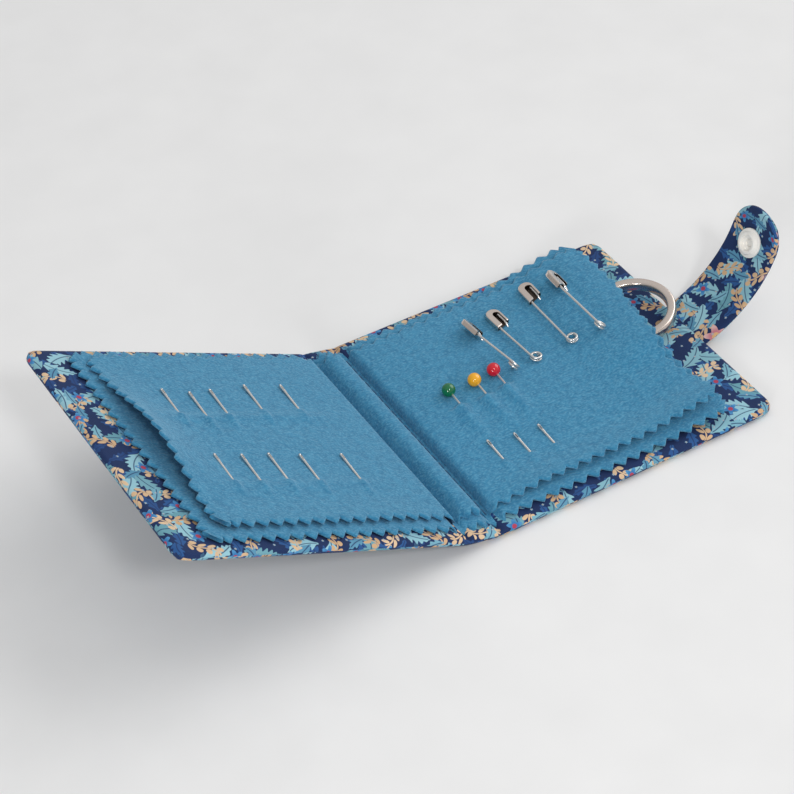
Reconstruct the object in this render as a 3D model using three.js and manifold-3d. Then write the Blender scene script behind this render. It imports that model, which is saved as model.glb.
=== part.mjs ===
// A sewn needle book lying open: two fabric-covered boards joined by a soft spine, two felt
// sheets with pinked edges sewn down the spine as pages, a closing strap with a press snap,
// a metal D-ring held in a fabric loop, and the needles, ball-head pins and safety pins that
// are kept in the felt.
//
// Millimetres, +Z up. The back cover lies flat on the table with the origin in the middle of
// its underside. +X points from the spine to the back cover's free edge, where the strap is.

import * as THREE from 'three';
import { mergeVertices } from 'three/addons/utils/BufferGeometryUtils.js';
import Module from 'manifold-3d';

const wasm = await Module();
wasm.setup();

// Covers and spine
const coverWidth = 104;
const coverHeight = 100;
const coverThickness = 2.8;
const coverCornerRadius = 5;
const coverEdgeRound = 0.9;
const fabricThickness = 0.5;
const boardThickness = 1.2;
const seamGap = 0.2;
const spineWidth = 11.6;
const spineTilt = 13;
const hingeHeight = 2.2;

// Clearances
const layerGap = 0.3;
const grooveClearance = 0.6;
const grooveSlit = 0.45;
const wireClearance = 0.25;
const snapClearance = 0.25;

// Felt pages
const feltThickness = 1.2;
const upperLeafEndMargin = 15;
const upperLeafSideMargin = 7;
const lowerLeafEndMargin = 11;
const lowerLeafSideMargin = 3;
const pinkingPitch = 5;
const pinkingDepth = 2.4;
const curlLength = 17;
const curlHeight = 3.6;
const rampLength = 33;
const rampEndMargin = 16;
const rampRise = 5.25;
const bandCrown = 0.9;

// Seams down the spine
const threadRadius = 0.2;
const stitchLength = 4;
const stitchWave = 0.1;

// D-ring and the fabric loop that holds it
const ringBowRadius = 12.6;
const ringBarSetBack = 4.1;
const ringRadialWidth = 2.7;
const ringAxialWidth = 3.1;
const ringEdgeRound = 0.7;
const ringFromEdge = 13.5;
const ringCentreY = 8.5;
const ringTilt = -6;
const loopWidth = 17;
const loopInnerRadius = 2;
const loopThickness = 0.55;
const loopTailLength = 11;

// Closing strap: a strip bent to one arc, in two lengths that fold on each other
const strapWidth = 21.8;
const strapThickness = 1.8;
const strapLength = 48.3;
const strapRiserLength = 25.2;
const strapBendRadius = 40.3;
const strapRootAngle = 18.4;
const strapRootGap = 0.6;
const strapStart = 0.3;
const strapFoldGap = 0.35;
const strapFoldBevel = 0.8;
const strapCentreY = -2;

// Press snap
const snapFromStrapRoot = 35.7;
const snapFlangeRadius = 4.95;
const snapFlangeThickness = 0.8;
const snapRimRadius = 3.5;
const snapSocketHeight = 2;
const snapKnobRadius = 2.1;
const snapKnobHeight = 1.2;
const snapPostRadius = 1.1;
const snapCapRadius = 5.1;
const snapCapThickness = 0.9;
const snapSeat = 0.15;
const snapSocketSeat = 0.42;
const studFromEdge = 6.5;

// Needles
const needleRadius = 0.4;
const longNeedleLength = 28;
const shortNeedleLength = 19.5;
const needlePointLength = 6;
const needleEyeLength = 2.2;
const needleEyeWidth = 0.3;
const needleEyeHeight = 0.78;
const needleTipDepth = 0.62;

// Ball-head pins
const ballRadius = 2.25;
const pinRadius = 0.32;
const pinLength = 26;
const pinPointLength = 5;
const pinHeadHeight = 2.35;
const pinTipDepth = 0.6;

// Safety pins
const safetyWireRadius = 0.42;
const safetyCoilRadius = 1.65;
const safetyCoilTurns = 1.5;
const safetyCoilPitch = 1.5;
const safetySmallLength = 28.6;
const safetyLargeLength = 32.7;
const safetyCapWidth = 5.3;
const safetyCapLength = 9;
const safetyCapThickness = 1.9;
const safetyCapWall = 0.3;
const safetyPointDepth = 0.62;
const safetyLean = 38;

// Where the pins sit on the back page: distance from the spine groove, and Y
const greenPinFrom = 17.3;
const greenPinY = 6.9;
const yellowPinFrom = 26.8;
const yellowPinY = 6.6;
const redPinFrom = 34.6;
const redPinY = 7.4;
const safetyPinAFrom = 41;
const safetyPinAY = 3.3;
const safetyPinBFrom = 50.4;
const safetyPinBY = 4.4;
const safetyPinCFrom = 64.8;
const safetyPinCY = 4.7;
const safetyPinDFrom = 74;
const safetyPinDY = 1.8;
const ballPins = [
  { name: 'green', from: greenPinFrom, y: greenPinY, colour: 0x0a6b3d },
  { name: 'yellow', from: yellowPinFrom, y: yellowPinY, colour: 0xf0a818 },
  { name: 'red', from: redPinFrom, y: redPinY, colour: 0xc4102e },
];
const safetyPins = [
  { name: 'a', from: safetyPinAFrom, y: safetyPinAY, length: safetySmallLength, lean: safetyLean, turn: 4 },
  { name: 'b', from: safetyPinBFrom, y: safetyPinBY, length: safetySmallLength, lean: 0, turn: 1.5 },
  { name: 'c', from: safetyPinCFrom, y: safetyPinCY, length: safetyLargeLength, lean: 0, turn: -2 },
  { name: 'd', from: safetyPinDFrom, y: safetyPinDY, length: safetyLargeLength, lean: safetyLean, turn: -2 },
];

// Where the needles lie: distance from the spine groove, and Y of the eye end
const upperRowNeedles = [[71, 23.6], [62, 22], [53.8, 23.4], [39.8, 25.8], [25.9, 25.8]];
const lowerRowNeedles = [[70.9, -9.4], [61.6, -9.8], [51.8, -9.6], [40.8, -10.4], [25.5, -10.6]];
const backPageNeedles = [[15.8, -17.4], [24.6, -19.2], [33.1, -19.9]];

// Pages, from the spine groove outwards
const upperLeafReach = coverWidth - upperLeafEndMargin;
const upperLeafHeight = coverHeight - 2 * upperLeafSideMargin;
const lowerLeafReach = coverWidth - lowerLeafEndMargin;
const lowerLeafHeight = coverHeight - 2 * lowerLeafSideMargin;
const curlStart = upperLeafReach - curlLength;
const rampEnd = coverWidth - rampEndMargin;
const rampStart = rampEnd - rampLength;

// Heights above the hinge axis of the sewn groove
const coverBase = -hingeHeight;
const coverTop = coverThickness - hingeHeight;
const lowerLeafBase = coverTop + layerGap;
const upperLeafBase = lowerLeafBase + feltThickness + layerGap;
const upperLeafTop = upperLeafBase + feltThickness;
const far = 300;

const cloth = { colour: 0x24406e, roughness: 0.85, metalness: 0 };
const felt = { colour: 0x3d86b4, roughness: 0.95, metalness: 0 };
const board = { colour: 0xb9b3a6, roughness: 0.9, metalness: 0 };
const threadLook = { colour: 0x2c6d9c, roughness: 0.8, metalness: 0 };
const nickel = { colour: 0xc9c1b8, roughness: 0.18, metalness: 1 };
const steel = { colour: 0xc8cacc, roughness: 0.25, metalness: 1 };
const plastic = { colour: 0xe6e0d4, roughness: 0.4, metalness: 0 };

// Solids and geometry

function toSolid(geometry) {
  const bare = new THREE.BufferGeometry();
  bare.setAttribute('position', geometry.getAttribute('position'));
  bare.setIndex(geometry.index);
  const merged = mergeVertices(bare, 1e-4);
  const index = merged.index.array;
  const corners = [];
  for (let i = 0; i < index.length; i += 3) {
    const [a, b, c] = [index[i], index[i + 1], index[i + 2]];
    if (a !== b && b !== c && c !== a) {
      corners.push(a, b, c);
    }
  }
  const vertProperties = new Float32Array(merged.getAttribute('position').array);
  const triVerts = new Uint32Array(corners);
  return new wasm.Manifold(new wasm.Mesh({ numProp: 3, vertProperties, triVerts }));
}

function toGeometry(solid) {
  const mesh = solid.getMesh();
  const geometry = new THREE.BufferGeometry();
  const position = new THREE.BufferAttribute(new Float32Array(mesh.vertProperties), 3);
  geometry.setAttribute('position', position);
  geometry.setIndex(new THREE.BufferAttribute(new Uint32Array(mesh.triVerts), 1));
  geometry.computeVertexNormals();
  return geometry;
}

function cut(geometry, cutters) {
  let solid = toSolid(geometry);
  for (const cutter of cutters) {
    solid = solid.subtract(toSolid(cutter));
  }
  return toGeometry(solid);
}

function boxBetween(low, high) {
  const size = high.map((value, axis) => value - low[axis]);
  const middle = high.map((value, axis) => (value + low[axis]) / 2);
  return new THREE.BoxGeometry(...size).translate(...middle);
}

// A shape drawn in X and Z, extruded along Y and centred on it.
function extrudeAlongY(shape, length) {
  const geometry = new THREE.ExtrudeGeometry(shape, { depth: length, bevelEnabled: false, curveSegments: 6 });
  return geometry.rotateX(Math.PI / 2).translate(0, length / 2, 0);
}

// A turned piece whose profile is given as radius and height, with its axis along Z.
function turned(profile, segments) {
  const points = profile.map(([radius, height]) => new THREE.Vector2(radius, height));
  return new THREE.LatheGeometry(points, segments).rotateX(Math.PI / 2);
}

function polygon(points) {
  return new THREE.Shape(points.map(([x, y]) => new THREE.Vector2(x, y)));
}

function arcPoints(x, y, radius, from, to, count) {
  const points = [];
  for (let i = 0; i <= count; i += 1) {
    const angle = from + ((to - from) * i) / count;
    points.push([x + radius * Math.cos(angle), y + radius * Math.sin(angle)]);
  }
  return points;
}

// The round section of a wire or thread.
function wireSection(radius, sides) {
  return polygon(arcPoints(0, 0, radius, 0, Math.PI * 2, sides).slice(0, sides));
}

function roundedRectangle(x0, x1, half, startRadius, endRadius) {
  const quarter = Math.PI / 2;
  const [a, b] = [x0 + startRadius, x1 - endRadius];
  return polygon([
    ...arcPoints(b, -half + endRadius, endRadius, -quarter, 0, 4),
    ...arcPoints(b, half - endRadius, endRadius, 0, quarter, 4),
    ...arcPoints(a, half - startRadius, startRadius, quarter, 2 * quarter, 2),
    ...arcPoints(a, -half + startRadius, startRadius, 2 * quarter, 3 * quarter, 2),
  ]);
}

// A thin slab divided along and across, with every corner passed through a bending rule.
function bentSlab(x0, x1, halfWidth, z0, z1, along, across, bend) {
  const slab = new THREE.BoxGeometry(x1 - x0, 2 * halfWidth, z1 - z0, along, across, 1);
  slab.translate((x0 + x1) / 2, 0, (z0 + z1) / 2);
  const position = slab.getAttribute('position');
  const corner = new THREE.Vector3();
  for (let i = 0; i < position.count; i += 1) {
    corner.fromBufferAttribute(position, i);
    position.setXYZ(i, ...bend(corner.x, corner.y, corner.z));
  }
  return slab;
}

function addMesh(parent, name, geometry, look) {
  const material = new THREE.MeshStandardMaterial({
    color: look.colour,
    roughness: look.roughness,
    metalness: look.metalness,
  });
  const mesh = new THREE.Mesh(geometry, material);
  mesh.name = name;
  parent.add(mesh);
  return mesh;
}

function addGroup(parent, position = [0, 0, 0]) {
  const group = new THREE.Group();
  group.position.set(...position);
  parent.add(group);
  return group;
}

// Covers: a tray of outer fabric and a tray of lining meet at a seam round the edge, with a
// board between them. A cover lies in its own frame, from the sewn groove at X = 0 outwards.

function coverPillow(x0, x1, startRadius, endRadius) {
  const inset = coverEdgeRound;
  const plan = roundedRectangle(
    x0 + inset, x1 - inset, coverHeight / 2 - inset,
    Math.max(startRadius - inset, 0.2), Math.max(endRadius - inset, 0.2),
  );
  const geometry = new THREE.ExtrudeGeometry(plan, {
    depth: coverThickness - 2 * coverEdgeRound,
    bevelThickness: coverEdgeRound,
    bevelSize: coverEdgeRound,
    bevelSegments: 2,
  });
  return geometry.translate(0, 0, coverBase + coverEdgeRound);
}

function coverPocket(x0, x1, startRadius, endRadius) {
  const inset = fabricThickness;
  const plan = roundedRectangle(
    x0 + inset, x1 - inset, coverHeight / 2 - inset, startRadius - inset, endRadius - inset,
  );
  const depth = coverThickness - 2 * fabricThickness;
  const geometry = new THREE.ExtrudeGeometry(plan, { depth, bevelEnabled: false });
  return geometry.translate(0, 0, coverBase + fabricThickness);
}

// The open sides of a sewn groove: everything above the hinge axis keeps behind a 45 degree
// slope, so that the pieces on both sides can fold together.
function grooveWedge() {
  const reach = 15;
  const slope = polygon([
    [grooveClearance - 1, -1],
    [grooveClearance + reach, reach],
    [-reach, reach],
    [-reach, -1],
  ]);
  return extrudeAlongY(slope, coverHeight + 20);
}

function coverTrays(x0, x1, startRadius, endRadius, wedges) {
  const pillow = toSolid(coverPillow(x0, x1, startRadius, endRadius));
  const pocket = toSolid(coverPocket(x0, x1, startRadius, endRadius));
  const seam = coverBase + (coverThickness - seamGap) / 2;
  const above = toSolid(boxBetween([-far, -far, seam], [far, far, far]));
  const below = toSolid(boxBetween([-far, -far, -far], [far, far, seam + seamGap]));
  const shell = pillow.subtract(pocket);
  let lining = shell.subtract(below);
  for (const wedge of wedges) {
    lining = lining.subtract(toSolid(wedge));
  }
  return { outer: toGeometry(shell.subtract(above)), lining: toGeometry(lining) };
}

function coverFiller(x0, x1, cornerRadius) {
  const inset = fabricThickness + layerGap;
  const halfHeight = coverHeight / 2 - inset;
  const plan = roundedRectangle(x0 + inset, x1 - inset, halfHeight, 0.4, cornerRadius);
  const geometry = new THREE.ExtrudeGeometry(plan, { depth: boardThickness, bevelEnabled: false });
  return geometry.translate(0, 0, coverBase + (coverThickness - boardThickness) / 2);
}

// Felt pages: a slab with its lie, trimmed to a pinked outline on the three free sides.

function pinkedOutline(reach, height) {
  const half = height / 2;
  const sideTeeth = Math.round(reach / pinkingPitch);
  const endTeeth = Math.round(height / pinkingPitch);
  const points = [];
  for (let i = 0; i < sideTeeth; i += 1) {
    points.push([(reach * i) / sideTeeth, -half]);
    points.push([(reach * (i + 0.5)) / sideTeeth, -half + pinkingDepth]);
  }
  for (let i = 0; i < endTeeth; i += 1) {
    points.push([reach, -half + (height * i) / endTeeth]);
    points.push([reach - pinkingDepth, -half + (height * (i + 0.5)) / endTeeth]);
  }
  const front = points.slice(0, 2 * sideTeeth);
  points.push([reach, half]);
  for (const [x, y] of front.reverse()) {
    points.push([x, -y]);
  }
  return polygon(points);
}

function pinkedPrism(reach, height) {
  const depth = 60;
  const geometry = new THREE.ExtrudeGeometry(pinkedOutline(reach, height), { depth, bevelEnabled: false });
  return geometry.translate(0, 0, -depth / 2);
}

function leaf(reach, height, base, lie, along, across, slits) {
  const spare = 2;
  const bend = (x, y, z) => [x, y, z + lie(x, y)];
  const top = base + feltThickness;
  const slab = bentSlab(0, reach + spare, height / 2 + spare, base, top, along, across, bend);
  let solid = toSolid(slab).intersect(toSolid(pinkedPrism(reach, height)));
  solid = solid.subtract(toSolid(grooveWedge()));
  for (const slit of slits) {
    solid = solid.subtract(toSolid(slit));
  }
  return toGeometry(solid);
}

function smoothStep(value) {
  const t = Math.min(Math.max(value, 0), 1);
  return t * t * (3 - 2 * t);
}

const flatLie = () => 0;

// The back pages climb over the loop and the bar of the D-ring.
const rampLie = (x) => rampRise * smoothStep((x - rampStart) / (rampEnd - rampStart));

// The free edge of the front page curls up in the middle.
function curlLie(x, y) {
  const out = Math.max(x - curlStart, 0) / (upperLeafReach - curlStart);
  const middle = Math.cos((Math.PI * y) / (upperLeafHeight + 4)) ** 2;
  return curlHeight * out * out * middle;
}

// Pieces that are stuck into a page lie in a frame on its top face: X away from the spine,
// Y along the spine, Z out of the felt.
function onPage(parent, from, y, lie, half) {
  const step = 0.5;
  const slope = (lie(from + step, 0) - lie(from - step, 0)) / (2 * step);
  const group = addGroup(parent, [from, y, upperLeafTop + lie(from, 0)]);
  group.rotation.y = -Math.atan(slope);
  const turn = addGroup(group);
  turn.rotation.z = half;
  return turn;
}

// A narrow slit through the felt below a needle or pin, between two places along it.
function slitBelow(frame, page, width, y0, y1, x = 0) {
  const depth = feltThickness + 4;
  const box = new THREE.BoxGeometry(width, y1 - y0, depth).translate(x, (y0 + y1) / 2, 0);
  frame.updateWorldMatrix(true, false);
  page.updateWorldMatrix(true, false);
  const toPage = page.matrixWorld.clone().invert().multiply(frame.matrixWorld);
  return box.applyMatrix4(toPage);
}

// Needles: the eye end lies on the felt and the point dips into it.

function needle(length) {
  const flare = needleRadius * 1.12;
  const blank = turned([
    [0, 0],
    [needleRadius * 0.6, 0],
    [flare, 0.5],
    [flare, needleEyeLength + 0.9],
    [needleRadius, needleEyeLength + 2.2],
    [needleRadius, length - needlePointLength],
    [needleRadius * 0.55, length - needlePointLength * 0.4],
    [0, length],
  ], 8);
  const eye = new THREE.BoxGeometry(needleEyeWidth, 4, needleEyeLength);
  eye.translate(0, 0, 0.6 + needleEyeLength / 2);
  return cut(blank, [eye]).rotateX(Math.PI / 2);
}

function addNeedle(parent, page, name, from, y, lie, length, half) {
  const frame = onPage(parent, from, y, lie, half);
  const drop = needleEyeHeight + needleTipDepth;
  const axis = addGroup(frame, [0, 0, needleEyeHeight]);
  axis.rotation.x = Math.asin(drop / length);
  addMesh(axis, name, needle(length), steel);
  const width = 2 * (needleRadius + wireClearance);
  return slitBelow(frame, page, width, -length - 0.6, -0.4);
}

// Ball-head pins.

function ballHead() {
  const bore = pinRadius + wireClearance;
  const points = [];
  const steps = 9;
  const last = Math.PI - Math.asin(bore / ballRadius);
  for (let i = 0; i <= steps; i += 1) {
    const angle = (last * i) / steps;
    points.push([ballRadius * Math.sin(angle), -ballRadius * Math.cos(angle)]);
  }
  points[0][0] = 0;
  points.push([bore, -ballRadius * 0.4], [0, -ballRadius * 0.4]);
  return turned(points, 14).rotateX(Math.PI / 2);
}

function ballPinShaft() {
  const start = -ballRadius * 0.3;
  return turned([
    [0, start],
    [pinRadius, start],
    [pinRadius, pinLength - pinPointLength],
    [pinRadius * 0.55, pinLength - pinPointLength * 0.4],
    [0, pinLength],
  ], 8).rotateX(Math.PI / 2);
}

function addBallPin(parent, page, pin) {
  const frame = onPage(parent, pin.from, pin.y, rampLie, 0);
  const axis = addGroup(frame, [0, 0, pinHeadHeight]);
  axis.rotation.x = Math.asin((pinHeadHeight + pinTipDepth) / pinLength);
  addMesh(axis, `ball_pin_${pin.name}_head`, ballHead(), { colour: pin.colour, roughness: 0.15, metalness: 0 });
  addMesh(axis, `ball_pin_${pin.name}_shaft`, ballPinShaft(), steel);
  const width = 2 * (pinRadius + wireClearance);
  const meets = (pinHeadHeight - pinRadius - wireClearance) / Math.tan(axis.rotation.x);
  return slitBelow(frame, page, width, -pinLength - 0.6, 0.8 - meets);
}

// Safety pins: one unbroken wire runs from the cap down the back arm, round the coil and up
// the pointed arm, which dips through the felt on its way back to the cap.

class SafetyPinWire extends THREE.Curve {
  constructor(length, lean) {
    super();
    this.lean = THREE.MathUtils.degToRad(lean);
    this.armLength = length - safetyCoilRadius - safetyWireRadius - safetyCapWidth / 2 + 0.2;
    this.clasped = (safetyCapLength - safetyCapWidth / 2 + 1) / this.armLength;
    this.coilAngle = safetyCoilTurns * 2 * Math.PI;
    const turn = Math.hypot(safetyCoilRadius * this.coilAngle, safetyCoilPitch * safetyCoilTurns);
    this.total = 2 * this.armLength + turn;
    this.armShare = this.armLength / this.total;
  }

  // The middle plane of the pin, raised so that the cap just clears the felt.
  get lift() {
    const across = (safetyCapWidth / 2) * Math.sin(this.lean);
    return layerGap + across + (safetyCapThickness / 2) * Math.cos(this.lean);
  }

  // Across the pin, along it, and out of its plane; the plane leans over by the lean angle.
  lay(across, along, out, target) {
    const x = across * Math.cos(this.lean) + out * Math.sin(this.lean);
    const z = this.lift - across * Math.sin(this.lean) + out * Math.cos(this.lean);
    return target.set(x, along, z);
  }

  getPoint(t, target = new THREE.Vector3()) {
    const drop = safetyCoilPitch * safetyCoilTurns;
    if (t < this.armShare) {
      const s = t / this.armShare;
      const rise = smoothStep((s - this.clasped) / (1 - this.clasped));
      return this.lay(-safetyCoilRadius, this.armLength * (1 - s), (drop / 2) * rise, target);
    }
    if (t <= 1 - this.armShare) {
      const s = (t - this.armShare) / (1 - 2 * this.armShare);
      const angle = Math.PI + this.coilAngle * s;
      const across = safetyCoilRadius * Math.cos(angle);
      const along = safetyCoilRadius * Math.sin(angle);
      return this.lay(across, along, drop * (0.5 - s), target);
    }
    const s = (t - 1 + this.armShare) / this.armShare;
    const settled = smoothStep(s * 4);
    this.lay(safetyCoilRadius, this.armLength * s, (drop / 2) * (settled - 1), target);
    const sunk = Math.sin(Math.PI * Math.min(s / (1 - this.clasped), 1)) ** 2;
    target.z -= (target.z + safetyPointDepth) * sunk;
    return target;
  }
}

function leastGap(points, diameter, skip) {
  let least = Infinity;
  for (let i = 0; i < points.length; i += 1) {
    for (let j = i + skip; j < points.length; j += 1) {
      least = Math.min(least, points[i].distanceTo(points[j]) - diameter);
    }
  }
  return least;
}

function safetyPinWire(path, name) {
  const section = wireSection(safetyWireRadius, 5);
  const stepLength = (2 * Math.PI * safetyCoilRadius) / 8;
  const steps = Math.round(path.total / stepLength);
  const skip = Math.ceil(3.2 / (path.total / 600));
  const gap = leastGap(path.getSpacedPoints(600), 2 * safetyWireRadius, skip);
  console.log(`safety_pin_${name}: least gap of the wire to itself ${gap.toFixed(2)} mm`);
  return new THREE.ExtrudeGeometry(section, { steps, extrudePath: path, bevelEnabled: false });
}

// The cap is a folded metal clasp: round at the top, open at the mouth, with a hollow showing
// on its face where the fold leaves a window beside the pointed arm.
function safetyPinCap() {
  const half = safetyCapWidth / 2;
  const outline = new THREE.Shape();
  outline.moveTo(-half, -safetyCapLength + half);
  outline.lineTo(half, -safetyCapLength + half + 1.6);
  outline.lineTo(half, 0);
  outline.absarc(0, 0, half, 0, Math.PI);
  const depth = safetyCapThickness - 2 * safetyCapWall;
  const body = new THREE.ExtrudeGeometry(outline, {
    depth,
    bevelThickness: safetyCapWall,
    bevelSize: safetyCapWall * 0.6,
    bevelOffset: -safetyCapWall * 0.6,
    bevelSegments: 1,
    curveSegments: 6,
  }).translate(0, 0, -depth / 2);
  const inner = half - safetyCapWall - 0.1;
  const hollow = new THREE.Shape();
  hollow.moveTo(-inner, -safetyCapLength * 2);
  hollow.lineTo(inner, -safetyCapLength * 2);
  hollow.lineTo(inner, 0);
  hollow.absarc(0, 0, inner, 0, Math.PI);
  const mouth = new THREE.ExtrudeGeometry(hollow, { depth, bevelEnabled: false, curveSegments: 6 });
  mouth.translate(0, 0, -depth / 2);
  const slot = new THREE.Shape();
  slot.absarc(0.45, -0.6, 0.95, 0, Math.PI);
  slot.lineTo(-0.1, -safetyCapLength * 0.45);
  slot.lineTo(1, -safetyCapLength * 0.45);
  const window = new THREE.ExtrudeGeometry(slot, { depth: safetyCapThickness, bevelEnabled: false, curveSegments: 5 });
  return cut(body, [mouth, window]);
}

function addSafetyPin(parent, page, pin) {
  const path = new SafetyPinWire(pin.length, pin.lean);
  const coilEnd = safetyCoilRadius + safetyWireRadius;
  const place = onPage(parent, pin.from, pin.y + coilEnd, rampLie, 0);
  const frame = addGroup(place);
  frame.rotation.z = THREE.MathUtils.degToRad(pin.turn);
  addMesh(frame, `safety_pin_${pin.name}_wire`, safetyPinWire(path, pin.name), steel);
  const capFrame = addGroup(frame, [0, pin.length - coilEnd - safetyCapWidth / 2, path.lift]);
  capFrame.rotation.y = path.lean;
  addMesh(capFrame, `safety_pin_${pin.name}_cap`, safetyPinCap(), nickel);
  const width = 2 * (safetyWireRadius + wireClearance);
  const arm = path.getPoint(1);
  return [
    slitBelow(frame, page, width, 0.4, path.armLength - 0.2, arm.x),
    slitBelow(frame, page, 2 * coilEnd + 2 * wireClearance, -coilEnd - wireClearance, coilEnd + wireClearance),
  ].slice(0, pin.lean > 0 ? 1 : 2);
}

// Closing strap: an arc in the X-Z plane, from the middle of the cover's free edge upwards.

const strapRootX = coverWidth / 2 + strapRootGap;
const strapRootZ = coverThickness / 2;
const strapTurn = (along) => THREE.MathUtils.degToRad(strapRootAngle) + along / strapBendRadius;

function onStrap(along, across, out) {
  const first = strapTurn(0);
  const angle = strapTurn(along);
  const x = strapRootX + strapBendRadius * (Math.sin(angle) - Math.sin(first));
  const z = strapRootZ + strapBendRadius * (Math.cos(first) - Math.cos(angle));
  return [x - out * Math.sin(angle), strapCentreY + across, z + out * Math.cos(angle)];
}

function strapFrame(parent, along) {
  const group = addGroup(parent, onStrap(along, 0, 0));
  group.rotation.y = -strapTurn(along);
  return group;
}

// Half the width at a place along the strap: straight sides, then a round end.
function strapHalfWidth(along) {
  const half = strapWidth / 2;
  const past = Math.max(along - (strapLength - half), 0) / half;
  return half * Math.sqrt(Math.max(1 - past * past, 0.004));
}

// The ends that meet at the fold are bevelled on the face that closes.
function strapPiece(start, end, divisions) {
  const half = strapThickness / 2;
  const round = strapLength - strapWidth / 2;
  return bentSlab(0, 1, 1, -half, half, divisions, 6, (share, across, out) => {
    const bevel = strapFoldBevel * (0.5 + (0.5 * out) / half);
    const first = start === strapStart ? start : start + bevel;
    const last = end === strapLength ? end : end - bevel;
    let along = first + (last - first) * share;
    if (end === strapLength) {
      const turn = Math.max(along - round, 0) / (end - round);
      along = along > round ? round + (end - round) * Math.sin((turn * Math.PI) / 2) : along;
    }
    const rootThin = 0.55 + 0.45 * smoothStep(along / 5);
    const edgeThin = 1 - 0.35 * across ** 4;
    return onStrap(along, across * strapHalfWidth(along), out * rootThin * edgeThin);
  });
}

// Press snap: each half is a turned plastic ring fixed by the post of a cap behind the cloth.

function snapSocket() {
  const bore = snapPostRadius + snapClearance;
  const well = snapKnobRadius + snapClearance + 0.1;
  const floor = snapSocketHeight - snapKnobHeight - 0.25;
  return turned([
    [bore, 0],
    [snapFlangeRadius - 0.2, 0],
    [snapFlangeRadius, 0.2],
    [snapFlangeRadius, snapFlangeThickness],
    [snapRimRadius + 0.5, snapFlangeThickness + 0.2],
    [snapRimRadius, snapSocketHeight],
    [well + 0.2, snapSocketHeight],
    [well, floor],
    [bore, floor],
    [bore, 0],
  ], 24);
}

function snapStud() {
  const bore = snapPostRadius + snapClearance;
  const top = snapFlangeThickness + snapKnobHeight;
  return turned([
    [bore, 0],
    [snapFlangeRadius - 0.6, 0],
    [snapFlangeRadius - 0.4, 0.2],
    [snapFlangeRadius - 0.4, snapFlangeThickness - 0.2],
    [snapFlangeRadius - 0.8, snapFlangeThickness],
    [snapKnobRadius - 0.15, snapFlangeThickness],
    [snapKnobRadius, snapFlangeThickness + snapKnobHeight * 0.6],
    [snapKnobRadius - 0.2, top],
    [bore, top],
    [bore, 0],
  ], 24);
}

function snapCap(postLength, dome) {
  return turned([
    [0, postLength],
    [snapPostRadius, postLength],
    [snapPostRadius, 0],
    [snapCapRadius, 0],
    [snapCapRadius, -snapCapThickness * 0.4],
    [snapCapRadius * 0.8, -snapCapThickness],
    [0, -snapCapThickness - dome],
  ].reverse(), 24);
}

function roundCutter(radius, z0, z1) {
  const profile = [[0, z0], [radius, z0], [radius, z1], [0, z1]];
  return turned(profile, 20);
}

// Assembly

const book = new THREE.Group();
book.name = 'needle_book';

const backPanel = addGroup(book, [-coverWidth / 2, 0, hingeHeight]);
const spineFrame = addGroup(book, [-coverWidth / 2, 0, hingeHeight]);
spineFrame.rotation.y = THREE.MathUtils.degToRad(spineTilt);
const frontHinge = addGroup(spineFrame, [-spineWidth, 0, 0]);
frontHinge.rotation.y = THREE.MathUtils.degToRad(spineTilt);
const frontPanel = addGroup(frontHinge);
frontPanel.rotation.z = Math.PI;

// Back cover
const backTrays = coverTrays(grooveSlit, coverWidth, 0.8, coverCornerRadius, [grooveWedge()]);
addMesh(backPanel, 'back_outer_fabric', backTrays.outer, cloth);
addMesh(backPanel, 'back_board', coverFiller(grooveSlit, coverWidth, coverCornerRadius - 1), board);
addMesh(backPanel, 'back_lining', backTrays.lining, cloth);

// Spine: the same layers between the two grooves, with the sewn-down felt on top
const spineGroup = addGroup(spineFrame);
spineGroup.rotation.z = Math.PI;
const farWedge = grooveWedge().rotateZ(Math.PI).translate(spineWidth, 0, 0);
const spineWedges = [grooveWedge(), farWedge];
const spineTrays = coverTrays(grooveSlit, spineWidth - grooveSlit, 0.8, 0.8, spineWedges);
addMesh(spineGroup, 'spine_outer_fabric', spineTrays.outer, cloth);
addMesh(spineGroup, 'spine_interfacing', coverFiller(grooveSlit, spineWidth - grooveSlit, 0.4), board);
addMesh(spineGroup, 'spine_lining', spineTrays.lining, cloth);

function feltBand(base, crown, height) {
  const inner = (level) => level + grooveClearance;
  const top = base + feltThickness;
  const arch = new THREE.Shape();
  arch.moveTo(inner(base), base);
  arch.lineTo(spineWidth - inner(base), base);
  arch.lineTo(spineWidth - inner(top - 0.3), top - 0.3);
  arch.quadraticCurveTo(spineWidth / 2, top + crown, inner(top - 0.3), top - 0.3);
  const blank = extrudeAlongY(arch, coverHeight);
  const teeth = new THREE.ExtrudeGeometry(pinkedOutline(3 * pinkingPitch, height), { depth: 20, bevelEnabled: false });
  teeth.translate((spineWidth - 2 * pinkingPitch) / 2 - pinkingPitch / 2, 0, -10);
  const full = toSolid(blank).intersect(toSolid(teeth));
  return toGeometry(full);
}

addMesh(spineGroup, 'spine_felt_lower', feltBand(lowerLeafBase, 0, lowerLeafHeight), felt);
addMesh(spineGroup, 'spine_felt_upper', feltBand(upperLeafBase, bandCrown, upperLeafHeight), felt);

// A row of lock stitches down a groove, as one thread that rises and dips.
function seamThread() {
  const count = Math.floor(lowerLeafHeight / stitchLength);
  const points = [];
  for (let i = 0; i <= 2 * count; i += 1) {
    const y = (i - count) * (stitchLength / 2);
    points.push(new THREE.Vector3(0, y, i % 2 === 0 ? stitchWave : -stitchWave));
  }
  const path = new THREE.CatmullRomCurve3(points, false, 'catmullrom', 0);
  const section = wireSection(threadRadius, 4);
  return new THREE.ExtrudeGeometry(section, { steps: 2 * count, extrudePath: path, bevelEnabled: false });
}

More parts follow.
